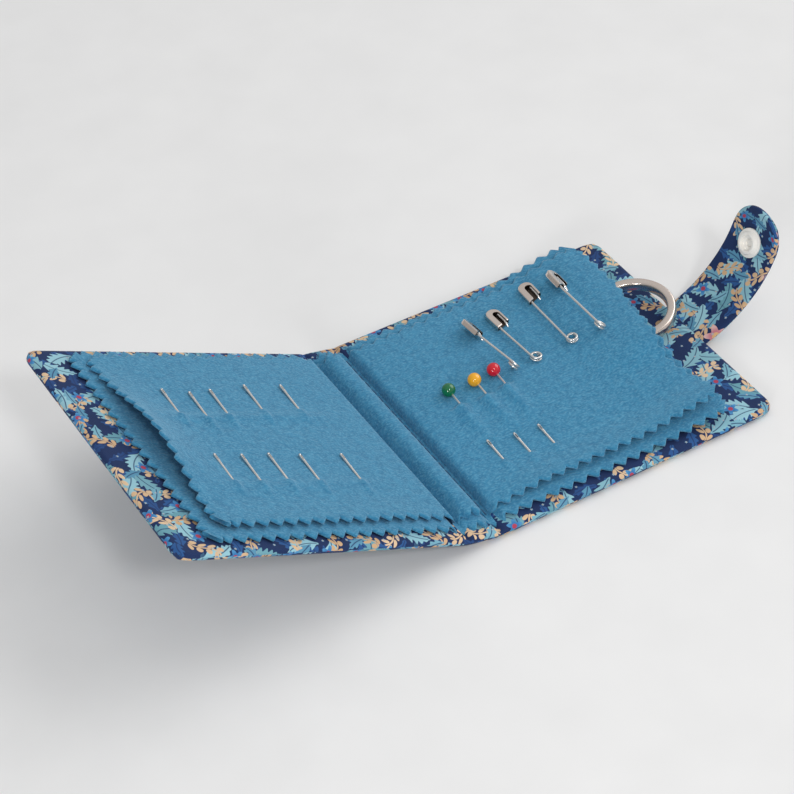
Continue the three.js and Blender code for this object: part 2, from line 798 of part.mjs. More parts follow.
addMesh(spineGroup, 'back_seam_thread', seamThread(), threadLook);
addMesh(spineGroup, 'front_seam_thread', seamThread().translate(spineWidth, 0, 0), threadLook);

// Front cover, with the snap's stud on its outside near the free edge
const studX = coverWidth - studFromEdge;
const frontTrays = coverTrays(grooveSlit, coverWidth, 0.8, coverCornerRadius, [grooveWedge()]);
const postHole = roundCutter(snapPostRadius + snapClearance, -10, 10).translate(studX, -strapCentreY, 0);
const capHole = roundCutter(snapCapRadius + layerGap, -10, 10).translate(studX, -strapCentreY, 0);
const frontBoard = coverFiller(grooveSlit, coverWidth, coverCornerRadius - 1);
const outerCut = postHole.clone().translate(0, 0, coverBase - 8);
addMesh(frontPanel, 'front_outer_fabric', cut(frontTrays.outer, [outerCut]), cloth);
addMesh(frontPanel, 'front_board', cut(frontBoard, [capHole]), board);
addMesh(frontPanel, 'front_lining', frontTrays.lining, cloth);

const studFrame = addGroup(frontPanel, [studX, -strapCentreY, coverBase - snapSeat]);
studFrame.rotation.x = Math.PI;
addMesh(studFrame, 'snap_stud', snapStud(), plastic);
const studCapFrame = addGroup(frontPanel, [studX, -strapCentreY, coverBase + fabricThickness + snapSeat]);
studCapFrame.rotation.x = Math.PI;
const studPost = fabricThickness + 2 * snapSeat + snapFlangeThickness;
addMesh(studCapFrame, 'snap_stud_cap', snapCap(studPost, 0), plastic);

// Needles on the front page, and the slits that hold them
const frontSlits = [];
[...upperRowNeedles, ...lowerRowNeedles].forEach(([from, y], i) => {
  const name = `front_needle_${String(i + 1).padStart(2, '0')}`;
  frontSlits.push(addNeedle(frontPanel, frontPanel, name, from, -y, curlLie, longNeedleLength, Math.PI));
});

// Needles and pins on the back page
const backSlits = [];
backPageNeedles.forEach(([from, y], i) => {
  const name = `back_needle_${String(i + 1).padStart(2, '0')}`;
  backSlits.push(addNeedle(backPanel, backPanel, name, from, y, rampLie, shortNeedleLength, 0));
});
for (const pin of ballPins) {
  backSlits.push(addBallPin(backPanel, backPanel, pin));
}
for (const pin of safetyPins) {
  backSlits.push(...addSafetyPin(backPanel, backPanel, pin));
}

// Pages
const rampSteps = 19;
addMesh(frontPanel, 'front_leaf_lower', leaf(lowerLeafReach, lowerLeafHeight, lowerLeafBase, flatLie, 1, 1, []), felt);
const frontUpper = leaf(upperLeafReach, upperLeafHeight, upperLeafBase, curlLie, 20, 8, frontSlits);
addMesh(frontPanel, 'front_leaf_upper', frontUpper, felt);
const backLower = leaf(lowerLeafReach, lowerLeafHeight, lowerLeafBase, rampLie, rampSteps, 1, []);
addMesh(backPanel, 'back_leaf_lower', backLower, felt);
const backUpper = leaf(upperLeafReach, upperLeafHeight, upperLeafBase, rampLie, rampSteps, 1, backSlits);
addMesh(backPanel, 'back_leaf_upper', backUpper, felt);

// D-ring, cast with a flat section, and the loop sewn to the lining round its bar
function dRing() {
  const inset = ringEdgeRound;
  const outerRadius = ringBowRadius + ringRadialWidth / 2 - inset;
  const innerRadius = ringBowRadius - ringRadialWidth / 2 + inset;
  const outerBar = -ringBarSetBack - ringRadialWidth / 2 + inset;
  const innerBar = -ringBarSetBack + ringRadialWidth / 2 - inset;
  const quarter = Math.PI / 2;
  const trace = (radius, bar, corner) => [
    ...arcPoints(0, 0, radius, -quarter, quarter, 18),
    ...arcPoints(bar + corner, radius - corner, corner, quarter, 2 * quarter, 3),
    ...arcPoints(bar + corner, -radius + corner, corner, 2 * quarter, 3 * quarter, 3),
  ];
  const outline = polygon(trace(outerRadius, outerBar, 2.4));
  outline.holes.push(polygon(trace(innerRadius, innerBar, 1)));
  const depth = ringAxialWidth - 2 * inset;
  return new THREE.ExtrudeGeometry(outline, {
    depth,
    bevelThickness: inset,
    bevelSize: inset,
    bevelSegments: 2,
  }).translate(0, 0, -depth / 2);
}

const loopOuterRadius = loopInnerRadius + loopThickness;
const ringHeight = coverThickness + snapSeat + loopOuterRadius;
const barPlace = [coverWidth / 2 - ringFromEdge - ringBarSetBack, ringCentreY, ringHeight];
const ringFrame = addGroup(book, barPlace);
ringFrame.rotation.y = THREE.MathUtils.degToRad(ringTilt);
addMesh(addGroup(ringFrame, [ringBarSetBack, 0, 0]), 'd_ring', dRing(), nickel);

function ringLoop() {
  const sides = 20;
  const circle = wireSection(loopOuterRadius, sides);
  circle.holes.push(wireSection(loopInnerRadius, sides));
  const tail = boxBetween(
    [-loopTailLength, -loopWidth / 2, -loopOuterRadius],
    [0, loopWidth / 2, -loopInnerRadius],
  );
  return toGeometry(toSolid(extrudeAlongY(circle, loopWidth)).add(toSolid(tail)));
}

addMesh(addGroup(book, barPlace), 'ring_loop', ringLoop(), cloth);

// Strap and the snap's socket
addMesh(book, 'strap_riser', strapPiece(strapStart, strapRiserLength - strapFoldGap / 2, 9), cloth);
const strapEnd = strapPiece(strapRiserLength + strapFoldGap / 2, strapLength, 14);
const snapFrame = strapFrame(book, snapFromStrapRoot);
snapFrame.updateWorldMatrix(true, false);
const strapHole = roundCutter(snapPostRadius + snapClearance, -4, 4).applyMatrix4(snapFrame.matrixWorld);
addMesh(book, 'strap_tab', cut(strapEnd, [strapHole]), cloth);
const socketFrame = addGroup(snapFrame, [0, 0, strapThickness / 2 + snapSocketSeat]);
addMesh(socketFrame, 'snap_socket', snapSocket(), plastic);
const socketCapFrame = addGroup(snapFrame, [0, 0, -strapThickness / 2 - snapSeat]);
const socketPost = strapThickness + snapSeat + snapSocketSeat + 0.35;
addMesh(socketCapFrame, 'snap_socket_cap', snapCap(socketPost, 0.6), plastic);

export default book;
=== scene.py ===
# %% [markdown]
# # A needle book, dressed in Blender
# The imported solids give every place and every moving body. This lesson keeps that frame as it is
# and puts the looks round it: pinked felt pages, printed cotton covers, a snap strap, a D-ring,
# and the needles and pins. The book's lengths are written in millimetres and become metres as
# they are handed to Blender; the lamps and the floor are in metres.

# %% Load the frame
import math

import bmesh
import bpy
import numpy as np
from mathutils import Matrix, Vector


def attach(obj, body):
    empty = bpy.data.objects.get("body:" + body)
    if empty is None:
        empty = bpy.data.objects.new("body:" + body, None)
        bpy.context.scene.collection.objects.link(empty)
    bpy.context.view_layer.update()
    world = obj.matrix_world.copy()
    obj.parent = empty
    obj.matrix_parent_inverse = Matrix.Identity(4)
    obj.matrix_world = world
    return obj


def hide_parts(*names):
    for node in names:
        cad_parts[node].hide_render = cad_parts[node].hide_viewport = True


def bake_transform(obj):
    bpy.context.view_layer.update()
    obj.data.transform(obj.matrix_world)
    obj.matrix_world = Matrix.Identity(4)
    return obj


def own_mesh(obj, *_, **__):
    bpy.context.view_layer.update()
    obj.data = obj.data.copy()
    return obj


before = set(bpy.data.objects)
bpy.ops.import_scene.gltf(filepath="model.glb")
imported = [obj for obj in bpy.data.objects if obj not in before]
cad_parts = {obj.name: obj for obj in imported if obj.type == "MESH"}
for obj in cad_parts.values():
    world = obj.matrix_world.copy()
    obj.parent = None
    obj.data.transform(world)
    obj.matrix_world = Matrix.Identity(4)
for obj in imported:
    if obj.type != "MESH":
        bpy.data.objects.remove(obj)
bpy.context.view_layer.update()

MM = 0.001

# %% [markdown]
# ## Camera
# The book was photographed from the front left, looking down at about 42 degrees with a long
# lens. The camera's three axes were worked out from the corners of the two covers, so they are
# written as a matrix and no aiming helper is needed. Zero lens shift keeps other views centred.

# %% Camera
CAMERA_RIGHT = (0.85259, -0.52238, -0.01509)
CAMERA_UP = (0.36150, 0.56866, 0.73890)
CAMERA_BACK = (-0.37740, -0.63543, 0.67366)
CAMERA_EYE = (-325.68, -451.03, 499.89)
CAMERA_LENS, CAMERA_SENSOR = 105.0, 36


def add_object(name, data):
    made = bpy.data.objects.new(name, data)
    bpy.context.scene.collection.objects.link(made)
    return made


camera_data = bpy.data.cameras.new("photo_camera")
camera_data.lens, camera_data.sensor_width = CAMERA_LENS, CAMERA_SENSOR
camera = add_object("photo_camera", camera_data)
camera.matrix_world = Matrix([
    (CAMERA_RIGHT[i], CAMERA_UP[i], CAMERA_BACK[i], CAMERA_EYE[i] * MM) for i in range(3)
] + [(0, 0, 0, 1)])
bpy.context.scene.camera = camera
bpy.context.scene.view_settings.view_transform = "Standard"
print("camera", [round(v, 3) for v in camera.location])

# %% [markdown]
# ## Shader helper
# A shader is a graph, and long graphs are hard to read as links. Here one socket is wrapped in a
# small class with Python's operators, so that `1 - mask` adds a Math node, and one method makes
# every other node, for the sky as for a material. Numbers that don't change over a surface go
# straight onto the shader.


# %% Wire, Graph and Finish
class Wire:
    """One output socket that takes part in arithmetic."""

    def __init__(self, graph, node, socket):
        self.graph, self.node, self.socket = graph, node, socket

    def out(self, name):
        return Wire(self.graph, self.node, self.node.outputs[name])

    def maths(self, operation, *others):
        inputs = dict(enumerate((self, *others)))
        return self.graph.node("Math", {"operation": operation}, inputs)

    def __add__(self, other):
        return self.maths("ADD", other)

    def __sub__(self, other):
        return self.maths("SUBTRACT", other)

    def __mul__(self, other):
        return self.maths("MULTIPLY", other)

    def __truediv__(self, other):
        return self.maths("DIVIDE", other)

    def __rsub__(self, other):
        return self.graph.node("Math", {"operation": "SUBTRACT"}, {0: other, 1: self})

    def __abs__(self):
        return self.maths("ABSOLUTE")


def linear(*rgb):
    """A colour given as 0 to 255 sRGB, as the linear numbers that a shader takes."""
    parts = [v / 255 for v in rgb]
    return tuple(v / 12.92 if v <= 0.04045 else ((v + 0.055) / 1.055) ** 2.4 for v in parts) + (1,)


class Graph:
    """The nodes of a material or a world, and the shader that they feed."""

    def __init__(self, owner, shader):
        owner.use_nodes = True
        self.tree = owner.node_tree
        self.shader = self.tree.nodes[shader]

    def node(self, kind, settings=None, inputs=None):
        made = self.tree.nodes.new("ShaderNode" + kind)
        for key, value in (settings or {}).items():
            setattr(made, key, value)
        for key, value in (inputs or {}).items():
            if isinstance(value, Wire):
                self.tree.links.new(value.socket, made.inputs[key])
            else:
                made.inputs[key].default_value = value
        return Wire(self, made, next(s for s in made.outputs if s.enabled))

    def feed(self, socket, wire):
        self.tree.links.new(wire.socket, self.shader.inputs[socket])

    def mix(self, factor, first, second):
        """A mix of two colours, each a wire or an sRGB triple from 0 to 255."""
        first, second = (linear(*c) if isinstance(c, tuple) else c for c in (first, second))
        return self.node("Mix", {"data_type": "RGBA"}, {0: factor, 6: first, 7: second})

    def step(self, value, low, high):
        settings = {"interpolation_type": "SMOOTHSTEP"}
        return self.node("MapRange", settings, {0: value, 1: low, 2: high})

    def noise(self, place, scale, detail=2.0):
        return self.node("TexNoise", {}, {"Vector": place, "Scale": scale, "Detail": detail})

    def bump(self, height, strength, distance):
        inputs = {"Strength": strength, "Distance": distance, "Height": height}
        self.feed("Normal", self.node("Bump", {}, inputs))


class Finish(Graph):
    """A material with one principled shader. Keyword values go straight onto its sockets."""

    def __init__(self, name, **constants):
        self.material = bpy.data.materials.new(name)
        super().__init__(self.material, "Principled BSDF")
        for key, value in constants.items():
            self.shader.inputs[key.replace("_", " ")].default_value = value


print("shader helper ready")

# %% [markdown]
# ## Light and floor
# A product table: one wide soft lamp high on the right, so that the raised left page takes more
# light than the flat right one, two small ones near the camera that give the glass heads their
# sparks, of which the low one also lights the strap's inner face, a pale sky that is brighter
# overhead and to the right, and a plain pale floor. The level is set so that a colour renders
# about as it is written.

# %% Stage
FLOOR_SIZE = 8.0
FLOOR_DROP = 0.0004
LAMP_SPREAD = 100
ROOM_LEAN, ROOM_LEVEL = (0.26, 0.0, 0.42), 0.30
ROOM_DARK, ROOM_PALE = (0.25, 0.25, 0.25, 1), (0.745, 0.75, 0.755, 1)


def lamp(name, place, size, power, colour):
    """A round area lamp that looks at the origin."""
    data = bpy.data.lights.new(name, "AREA")
    data.shape, data.size, data.energy, data.color = "DISK", size, power, colour
    data.spread = math.radians(LAMP_SPREAD)
    made = add_object(name, data)
    made.location = place
    made.rotation_mode = "QUATERNION"
    made.rotation_quaternion = (-Vector(place)).to_track_quat("-Z", "Y")


lamp("key_lamp", (1.38, 0.09, 1.035), 1.8, 5.2, (1, 0.985, 0.97))
lamp("spark_lamp", (-0.22, -0.92, 0.97), 0.2, 1.0, (1, 1, 1))
lamp("low_lamp", (-0.94, -0.81, 0.40), 0.3, 1.2, (1, 0.99, 0.98))

world = bpy.data.worlds.new("soft_room")
bpy.context.scene.world = world
sky = Graph(world, "Background")
lean = sky.node("VectorMath", {"operation": "DOT_PRODUCT"},
                {0: sky.node("TexCoord").out("Generated"), 1: ROOM_LEAN})
ramp = sky.node("ValToRGB", {}, {0: lean.out("Value") + ROOM_LEVEL})
for stop, colour in zip(ramp.node.color_ramp.elements, (ROOM_DARK, ROOM_PALE)):
    stop.color = colour
sky.feed("Color", ramp)

bpy.ops.mesh.primitive_plane_add(size=FLOOR_SIZE, location=(0, 0, -FLOOR_DROP))
floor = bpy.context.object
floor.name = "floor"
floor_finish = Finish("pale_floor", Roughness=0.75)
grain = floor_finish.noise(floor_finish.node("TexCoord").out("Object"), 40.0)
floor_finish.feed("Base Color", floor_finish.mix(grain, (230, 230, 230), (238, 238, 238)))
floor.data.materials.append(floor_finish.material)
print("stage: 3 lamps, sky, floor")

# %% [markdown]
# ## Felt finish
# Wool felt has no weave: it is a mat of short fibres, so its colour is mottled over one or two
# millimetres, streaked more finely the way it was carded, and its surface takes light as a soft
# sheen. Two noises of different scale do the colour, one of them stretched, and both the bump.

# %% Felt
FELT_BASE, FELT_PALE, FELT_DEEP = (60, 135, 173), (108, 171, 201), (44, 114, 153)
FELT_SHEEN, FELT_COMB = (190, 216, 230), (0.6, 1.0, 1.0)

felt = Finish("blue_felt", Roughness=0.95, Sheen_Weight=0.55, Sheen_Roughness=0.5,
              Specular_IOR_Level=0.12, Sheen_Tint=linear(*FELT_SHEEN))
wool = felt.node("TexCoord").out("Object")
combed = felt.node("Mapping", {}, {"Vector": wool, "Scale": FELT_COMB})
patches = felt.noise(wool, 480.0, 3.0)
fibres = felt.noise(combed, 1700.0, 3.0)
mottled = felt.mix(felt.step(patches, 0.2, 0.8), FELT_DEEP, FELT_BASE)
streaked = felt.mix(felt.step(fibres, 0.4, 0.75) * 0.5, mottled, FELT_PALE)
felt.feed("Base Color", streaked)
felt.bump(patches * 0.6 + fibres * 0.8, 0.6, 0.0006)
print("felt nodes", len(felt.tree.nodes))

# %% [markdown]
# ## Printed cotton
# The covers and the strap are a dark blue cotton with a small all-over print. Each layer of the
# print is one motif strewn by a Voronoi texture: the cell's centre and random colour give the
# place and the turn, and a few sums draw a leaf, a sprig or a flower in the cell's own plane.
# The pattern runs on the cloth's own UV map, where one unit is 100 mm of cloth, so it follows the
# fabric round edges and bends.

# %% Print
UV_UNIT = 100.0
VEIN_BLUE, TAN = (26, 50, 96), (206, 168, 126)


class Print:
    """Strews motifs over the cloth. Each motif works in millimetres, x along it and y across."""

    def __init__(self, finish):
        self.finish = finish
        uv = finish.node("TexCoord").out("UV")
        self.cloth = finish.node("VectorMath", {"operation": "SCALE"}, {0: uv, "Scale": UV_UNIT})
        self.colour = None

    def cells(self, size, shift):
        f = self.finish
        moved = f.node("VectorMath", {"operation": "ADD"}, {0: self.cloth, 1: shift})
        scaled = f.node("VectorMath", {"operation": "SCALE"}, {0: moved, "Scale": 1 / size})
        cell = f.node("TexVoronoi", {"voronoi_dimensions": "2D"},
                      {"Vector": scaled, "Scale": 1.0, "Randomness": 0.75})
        centre = cell.out("Position")
        away = f.node("VectorMath", {"operation": "SUBTRACT"}, {0: scaled, 1: centre})
        chance = f.node("SeparateColor", {}, {0: cell.out("Color")})
        turned = f.node("VectorRotate", {"rotation_type": "Z_AXIS"},
                        {"Vector": away, "Angle": chance * (2 * math.pi)})
        local = f.node("SeparateXYZ", {}, {0: turned})
        return local * size, local.out("Y") * size, chance.out("Green"), chance.out("Blue")

    def lay(self, mask, colour):
        self.colour = self.finish.mix(mask, self.colour, colour)

    def leaf(self, size, shift, length, width, light, dark, skip=0.0):
        f = self.finish
        x, y, pick, tone = self.cells(size, shift)
        y = abs(y - x * x * 0.035)
        share = x / length
        lobes = (x * (2 * math.pi / 2.1) - y * 2.2).maths("COSINE")
        edge = (1 - share * share) * width * (lobes * 0.22 + 0.8) - y
        mask = f.step(edge, 0.0, 0.16) * f.step(pick, skip, skip + 0.02)
        self.lay(mask, f.mix(f.step(tone, 0.2, 0.8), light, dark))
        vein = f.step(y, 0.26, 0.12) * f.step(edge, 0.3, 0.5) * mask
        self.lay(vein * 0.8, VEIN_BLUE)

    def sprig(self, size, shift, length, colour, shade):
        f = self.finish
        x, y, _, tone = self.cells(size, shift)
        off = y - (x * 0.5).maths("SINE") * 1.1
        ends = f.step(abs(x), length, length - 0.4)
        stem = f.step(abs(off), 0.34, 0.2) * ends
        beat = (x / 2.6).maths("FRACT") - 0.5
        along = (beat * 2.6 - (abs(off) - 1.2) * 0.5) / 0.95
        across = (abs(off) - 1.25) / 0.95
        blade = f.step(along * along + across * across, 1.05, 0.85) * ends
        self.lay(stem.maths("MAXIMUM", blade), f.mix(tone, colour, shade))

    def flower(self, size, shift, radius, petal, petal_edge, heart, skip=0.0):
        f = self.finish
        x, y, pick, _ = self.cells(size, shift)
        r = (x * x + y * y).maths("SQRT")
        lobe = (y.maths("ARCTAN2", x) * 5).maths("COSINE")
        reach = (lobe * 0.24 + 0.76) * radius
        chosen = f.step(pick, skip, skip + 0.02)
        tint = f.mix(f.step(r / radius, 0.35, 0.9), petal, petal_edge)
        self.lay(f.step(r, reach, reach - 0.2) * chosen, tint)
        self.lay(f.step(r, radius * 0.34, radius * 0.26) * chosen, heart)


# Each layer: motif, cell size and shift in mm, the motif's sizes and colours, share left out
PRINT_LAYERS = (
    (Print.leaf, 8.5, (23.0, 61.0, 0), 4.6, 1.9, (38, 84, 142), (30, 66, 122)),
    (Print.leaf, 11.0, (0, 0, 0), 6.2, 2.9, (150, 197, 210), (104, 158, 172)),
    (Print.sprig, 12.6, (31.0, 17.0, 0), 5.2, TAN, (226, 196, 160)),
    (Print.leaf, 9.5, (57.0, 83.0, 0), 4.0, 1.8, (125, 178, 196), (88, 146, 176), 0.25),
    (Print.flower, 11.0, (11.0, 47.0, 0), 2.7, (52, 120, 178), (78, 146, 196), (176, 62, 84),
     0.35),
    (Print.flower, 24.0, (71.0, 29.0, 0), 4.4, (196, 120, 132), (222, 182, 178), (214, 170, 120),
     0.6),
    (Print.flower, 5.2, (5.0, 3.0, 0), 0.62, (150, 190, 214), (96, 150, 190), TAN, 0.3),
)

cover_cotton = Finish("printed_cotton", Roughness=0.82, Sheen_Weight=0.05, Specular_IOR_Level=0.2)
layers = Print(cover_cotton)
shade = cover_cotton.noise(layers.cloth, 0.12, 2.0)
layers.colour = cover_cotton.mix(shade, (11, 32, 72), (19, 46, 97))
for motif, *values in PRINT_LAYERS:
    motif(layers, *values)
weave = cover_cotton.noise(layers.cloth, 3.2, 1.0)
cover_cotton.feed("Base Color", cover_cotton.mix(weave * 0.08, layers.colour, (120, 140, 170)))
cover_cotton.bump(weave + shade, 0.25, 0.0003)
print("print nodes", len(cover_cotton.tree.nodes))

# %% [markdown]
# ## Small hard finishes
# Nickel plate on the ring and the clasps, bright steel on needles and wire, a paler one on the
# ball-head pins, moulded cream plastic for the snap, painted glass heads, cotton thread and grey
# board. Each gets a little uneven gloss, because a perfectly even highlight is what gives a
# computer picture away.


# %% Hard finishes
def plain_finish(name, first, second, scale, gloss, **constants):
    """Two close colours and a gloss between two roughnesses, both by one cloudy noise."""
    made = Finish(name, **constants)
    cloud = made.noise(made.node("TexCoord").out("Object"), scale, 3.0)
    made.feed("Base Color", made.mix(cloud, first, second))
    made.feed("Roughness", cloud * (gloss[1] - gloss[0]) + gloss[0])
    return made


nickel = plain_finish("nickel_plate", (220, 206, 196), (231, 219, 210), 140.0, (0.22, 0.28),
                      Metallic=1.0)
# A dark nickel that paints the shade inside the clasps' hollows.
painted_shade_nickel = plain_finish("painted_shade_nickel", (62, 54, 48), (96, 86, 78), 900.0, (0.42, 0.6),
                           Metallic=1.0)
steel = plain_finish("bright_steel", (208, 206, 203), (226, 224, 221), 500.0, (0.2, 0.3),
                     Metallic=0.8)
pin_steel = plain_finish("pin_steel", (216, 216, 216), (234, 234, 234), 500.0, (0.25, 0.35),
                         Metallic=0.35)
cream_plastic = plain_finish("cream_plastic", (243, 239, 231), (249, 246, 240), 250.0, (0.34, 0.48))
board = plain_finish("grey_board", (150, 146, 138), (172, 168, 160), 600.0, (0.85, 0.95))
thread = plain_finish("sewing_thread", (40, 94, 130), (52, 110, 148), 2500.0, (0.7, 0.85),
                      Sheen_Weight=0.3)
HEAD_COLOURS = {"green": (0, 108, 60), "yellow": (250, 178, 20), "red": (214, 4, 36)}
HEAD_SHADE = 0.9
heads = {}
for name, rgb in HEAD_COLOURS.items():
    shaded = tuple(int(v * HEAD_SHADE) for v in rgb)
    heads[name] = plain_finish(f"{name}_glass", rgb, shaded, 350.0, (0.03, 0.06),
                               Specular_IOR_Level=0.6, Coat_Weight=0.4, Coat_Roughness=0.02)
print("finishes", len(bpy.data.materials))

# %% [markdown]
# ## Mesh helpers
# Most soft pieces here are slabs: an upper and a lower sheet of points that share an edge. One
# function turns two grids into a closed mesh, another makes the Blender object and recalculates
# its normals, and a third puts it on its body. Tubes and turned pieces have a helper each.


# %% Mesh helpers
def slab(top, bottom):
    """Points and faces of a closed slab between two grids of points."""
    rows, columns = top.shape[:2]
    count = rows * columns
    points = np.concatenate([top.reshape(-1, 3), bottom.reshape(-1, 3)])
    k = np.arange(count).reshape(rows, columns)
    upper = np.stack([k[:-1, :-1], k[1:, :-1], k[1:, 1:], k[:-1, 1:]], -1).reshape(-1, 4)
    loop = np.concatenate([k[0, :-1], k[:-1, -1], k[-1, :0:-1], k[:0:-1, 0]])
    after = np.roll(loop, -1)
    rim = np.stack([loop, after, after + count, loop + count], -1)
    return points, np.concatenate([upper, upper[:, ::-1] + count, rim])


def ring_rows(rings, closed_path=False):
    """Points and faces of a tube through rings of points, with flat ends unless it closes."""
    count, sides = rings.shape[:2]
    points = rings.reshape(-1, 3)
    k = np.arange(count * sides).reshape(count, sides)
    if closed_path:
        k = np.concatenate([k, k[:1]])
    a, b = k[:-1], k[1:]
    quads = np.stack([a, np.roll(a, -1, 1), np.roll(b, -1, 1), b], -1).reshape(-1, 4)
    faces = [tuple(q) for q in quads]
    if not closed_path:
        faces += [tuple(k[0][::-1]), tuple(k[-1])]
    return points, faces


def smooth_step(value):
    t = np.clip(value, 0, 1)
    return t * t * (3 - 2 * t)


def lower_of(a, b, soft):
    """The smaller of two heights, with a rounded change between them."""
    return (a + b - np.sqrt((a - b) ** 2 + soft * soft)) / 2


def bell(value):
    return np.exp(-(value ** 2))


def full_turn(count):
    return np.linspace(0, 2 * math.pi, count, endpoint=False)


def unit_rows(rows):
    return rows / np.linalg.norm(rows, axis=1)[:, None]


def grid(a, b):
    return np.meshgrid(a, b, indexing="ij")


def cloth_uv(s, t):
    """The cloth's own place, in millimetres, at each point of a grid."""
    return np.stack(grid(s, t), -1).reshape(-1, 2)


def in_metres(point):
    return tuple(point * MM)


def piece(name, points, faces, finish, uv=None, smooth=True):
    """A Blender object from points in millimetres."""
    mesh = bpy.data.meshes.new(name)
    points = (np.asarray(points, float) * MM).tolist()
    mesh.from_pydata(points, [], [tuple(map(int, f)) for f in faces])
    if uv is not None:
        layer = mesh.uv_layers.new(name="cloth")
        corner = np.zeros(len(mesh.loops), np.int32)
        mesh.loops.foreach_get("vertex_index", corner)
        uv = np.asarray(uv, float)[corner] / UV_UNIT
        layer.data.foreach_set("uv", uv.ravel().astype(np.float32))
    shell = bmesh.new()
    shell.from_mesh(mesh)
    bmesh.ops.remove_doubles(shell, verts=shell.verts, dist=1e-7)
    bmesh.ops.dissolve_degenerate(shell, edges=shell.edges, dist=1e-8)
    bmesh.ops.recalc_face_normals(shell, faces=shell.faces)
    shell.to_mesh(mesh)
    shell.free()
    mesh.polygons.foreach_set("use_smooth", [smooth] * len(mesh.polygons))
    mesh.materials.append(finish.material)
    return add_object(name, mesh)


def set_on(made, body, node):
    """Puts a piece on its body, in place of a solid."""
    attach(made, body)
    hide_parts(node)
    print(made.name, len(made.data.polygons), "faces on", body)


def refinish(node, finish):
    """Gives a solid that stays in sight its finish."""
    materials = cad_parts[node].data.materials
    materials.clear()
    materials.append(finish.material)


print("mesh helpers ready")

# %% [markdown]
# ## The three frames of the book
# The back cover lies flat. The spine is hinged to it along the back groove and leans up by 13
# degrees; the front cover is hinged to the spine along the front groove and leans up by 26. Each
# has its own plane: distance from its groove, place along the spine, and height above the groove.

# %% Frames
COVER_WIDTH, COVER_HEIGHT = 104.0, 100.0
SPINE_WIDTH = 11.6
HINGE_HEIGHT = 2.2
SPINE_TILT = math.radians(13)
FRONT_TILT = 2 * SPINE_TILT
BACK_GROOVE = np.array([-COVER_WIDTH / 2, 0, HINGE_HEIGHT])
SPINE_ACROSS = np.array([-math.cos(SPINE_TILT), 0, math.sin(SPINE_TILT)])
FRONT_GROOVE = BACK_GROOVE + SPINE_WIDTH * SPINE_ACROSS


def in_frame(groove, tilt, mirrored):
    away = np.array([math.cos(tilt), 0, math.sin(tilt)])
    up = np.array([-math.sin(tilt), 0, math.cos(tilt)])
    if mirrored:
        away, up = away * (-1, 1, 1), up * (-1, 1, 1)

    def place(x, y, w):
        x, y, w = (v[..., None] for v in np.broadcast_arrays(x, y, w))
        return groove + x * away + w * up + y * np.array([0, 1, 0])

    return place


on_back = in_frame(BACK_GROOVE, 0.0, False)
on_spine = in_frame(BACK_GROOVE, SPINE_TILT, True)
on_front = in_frame(FRONT_GROOVE, FRONT_TILT, True)


def spine_from_back(x, y, w):
    return on_spine(-x, y, w)


def spine_from_front(x, y, w):
    return on_spine(SPINE_WIDTH + x, y, w)


HALVES = {"back": (on_back, spine_from_back), "front": (on_front, spine_from_front)}
HINGE_BEND, BEND_START, BEND_LENGTH = 1.4, 0.9, 1.8


def over_groove(half, x, y, w):
    """A place on cloth that runs from a cover over its groove into the spine."""
    place, spine_place = HALVES[half]
    share = smooth_step((BEND_START - x) / BEND_LENGTH)[..., None]
    return (1 - share) * place(x, y, w) + share * spine_place(x, y, w)


def bend_at_groove(made, half):
    place, spine_place = HALVES[half]
    half + "_cover"
    in_metres(place(HINGE_BEND, 0, 0))
    in_metres(spine_place(-HINGE_BEND, 0, 0))
    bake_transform(made)


print("front groove at", np.round(FRONT_GROOVE, 2))

# %% [markdown]
# ## Covers
# A cover is cotton on both sides of a stiff board, turned and pressed, so its edge is a full
# round and a little thicker over the seam allowance inside. It could be a box with a bevel; a
# grid of points is used because the cloth has to run on across the groove to the middle of the
# spine and bend there, and because its UVs have to measure the cloth. The groove is drawn in by
# the stitching.

# %% Covers
COVER_MIDDLE = -0.8
COVER_HALF = 1.4
COVER_ROUND = 1.5
CORNER_RADIUS = 5.0
FINE_END, FINE_STEP, COVER_STEP = 3.0, 0.4, 1.1
INNER_PRINT = (160, 40)


def round_rows(edge, radius, steps):
    """Places just inside a rounded edge and the cloth's length to them."""
    angle = np.linspace(0, math.pi / 2, steps + 1)
    return edge - radius * (1 - np.sin(angle)), edge - radius + radius * angle


def axis_rows(low, high, step, round_low, round_high):
    """Places and cloth lengths from low to high, with rounded ends where a radius is given."""
    start, stop = low + round_low, high - round_high
    inner = np.linspace(start, stop, int(round((stop - start) / step)) + 1)
    place, cloth = inner, inner
    if round_high:
        p, c = round_rows(high, round_high, 4)
        place, cloth = np.concatenate([place, p[1:]]), np.concatenate([cloth, c[1:]])
    if round_low:
        p, c = round_rows(-low, round_low, 4)
        place, cloth = np.concatenate([-p[:0:-1], place]), np.concatenate([-c[:0:-1], cloth])
    return place, cloth


def edge_profile(distance, radius):
    inside = 1 - np.clip(distance / radius, 0, 1)
    return np.sqrt(np.clip(1 - inside * inside, 0, 1))


def round_corners(x, y, far, half, radius):
    """Squares at the far corners become quarter discs."""
    a = np.clip((x - (far - radius)) / radius, 0, 1)
    b = np.clip((np.abs(y) - (half - radius)) / radius, 0, 1)
    corner = (a > 0) & (b > 0)
    new_x = np.where(corner, far - radius + radius * a * np.sqrt(1 - b * b / 2), x)
    new_y = np.where(corner, np.sign(y) * (half - radius + radius * b * np.sqrt(1 - a * a / 2)), y)
    return new_x, new_y


def ripple(x, y, seed, wave):
    """A small smooth unevenness, the same on each run."""
    rng = np.random.default_rng(seed)
    total = np.zeros(np.broadcast(x, y).shape)
    for _ in range(7):
        angle, phase = rng.uniform(0, 2 * math.pi, 2)
        k = 2 * math.pi / (wave * rng.uniform(0.6, 1.8))
        total += np.sin(k * (x * math.cos(angle) + y * math.sin(angle)) + phase)
    return total / 7


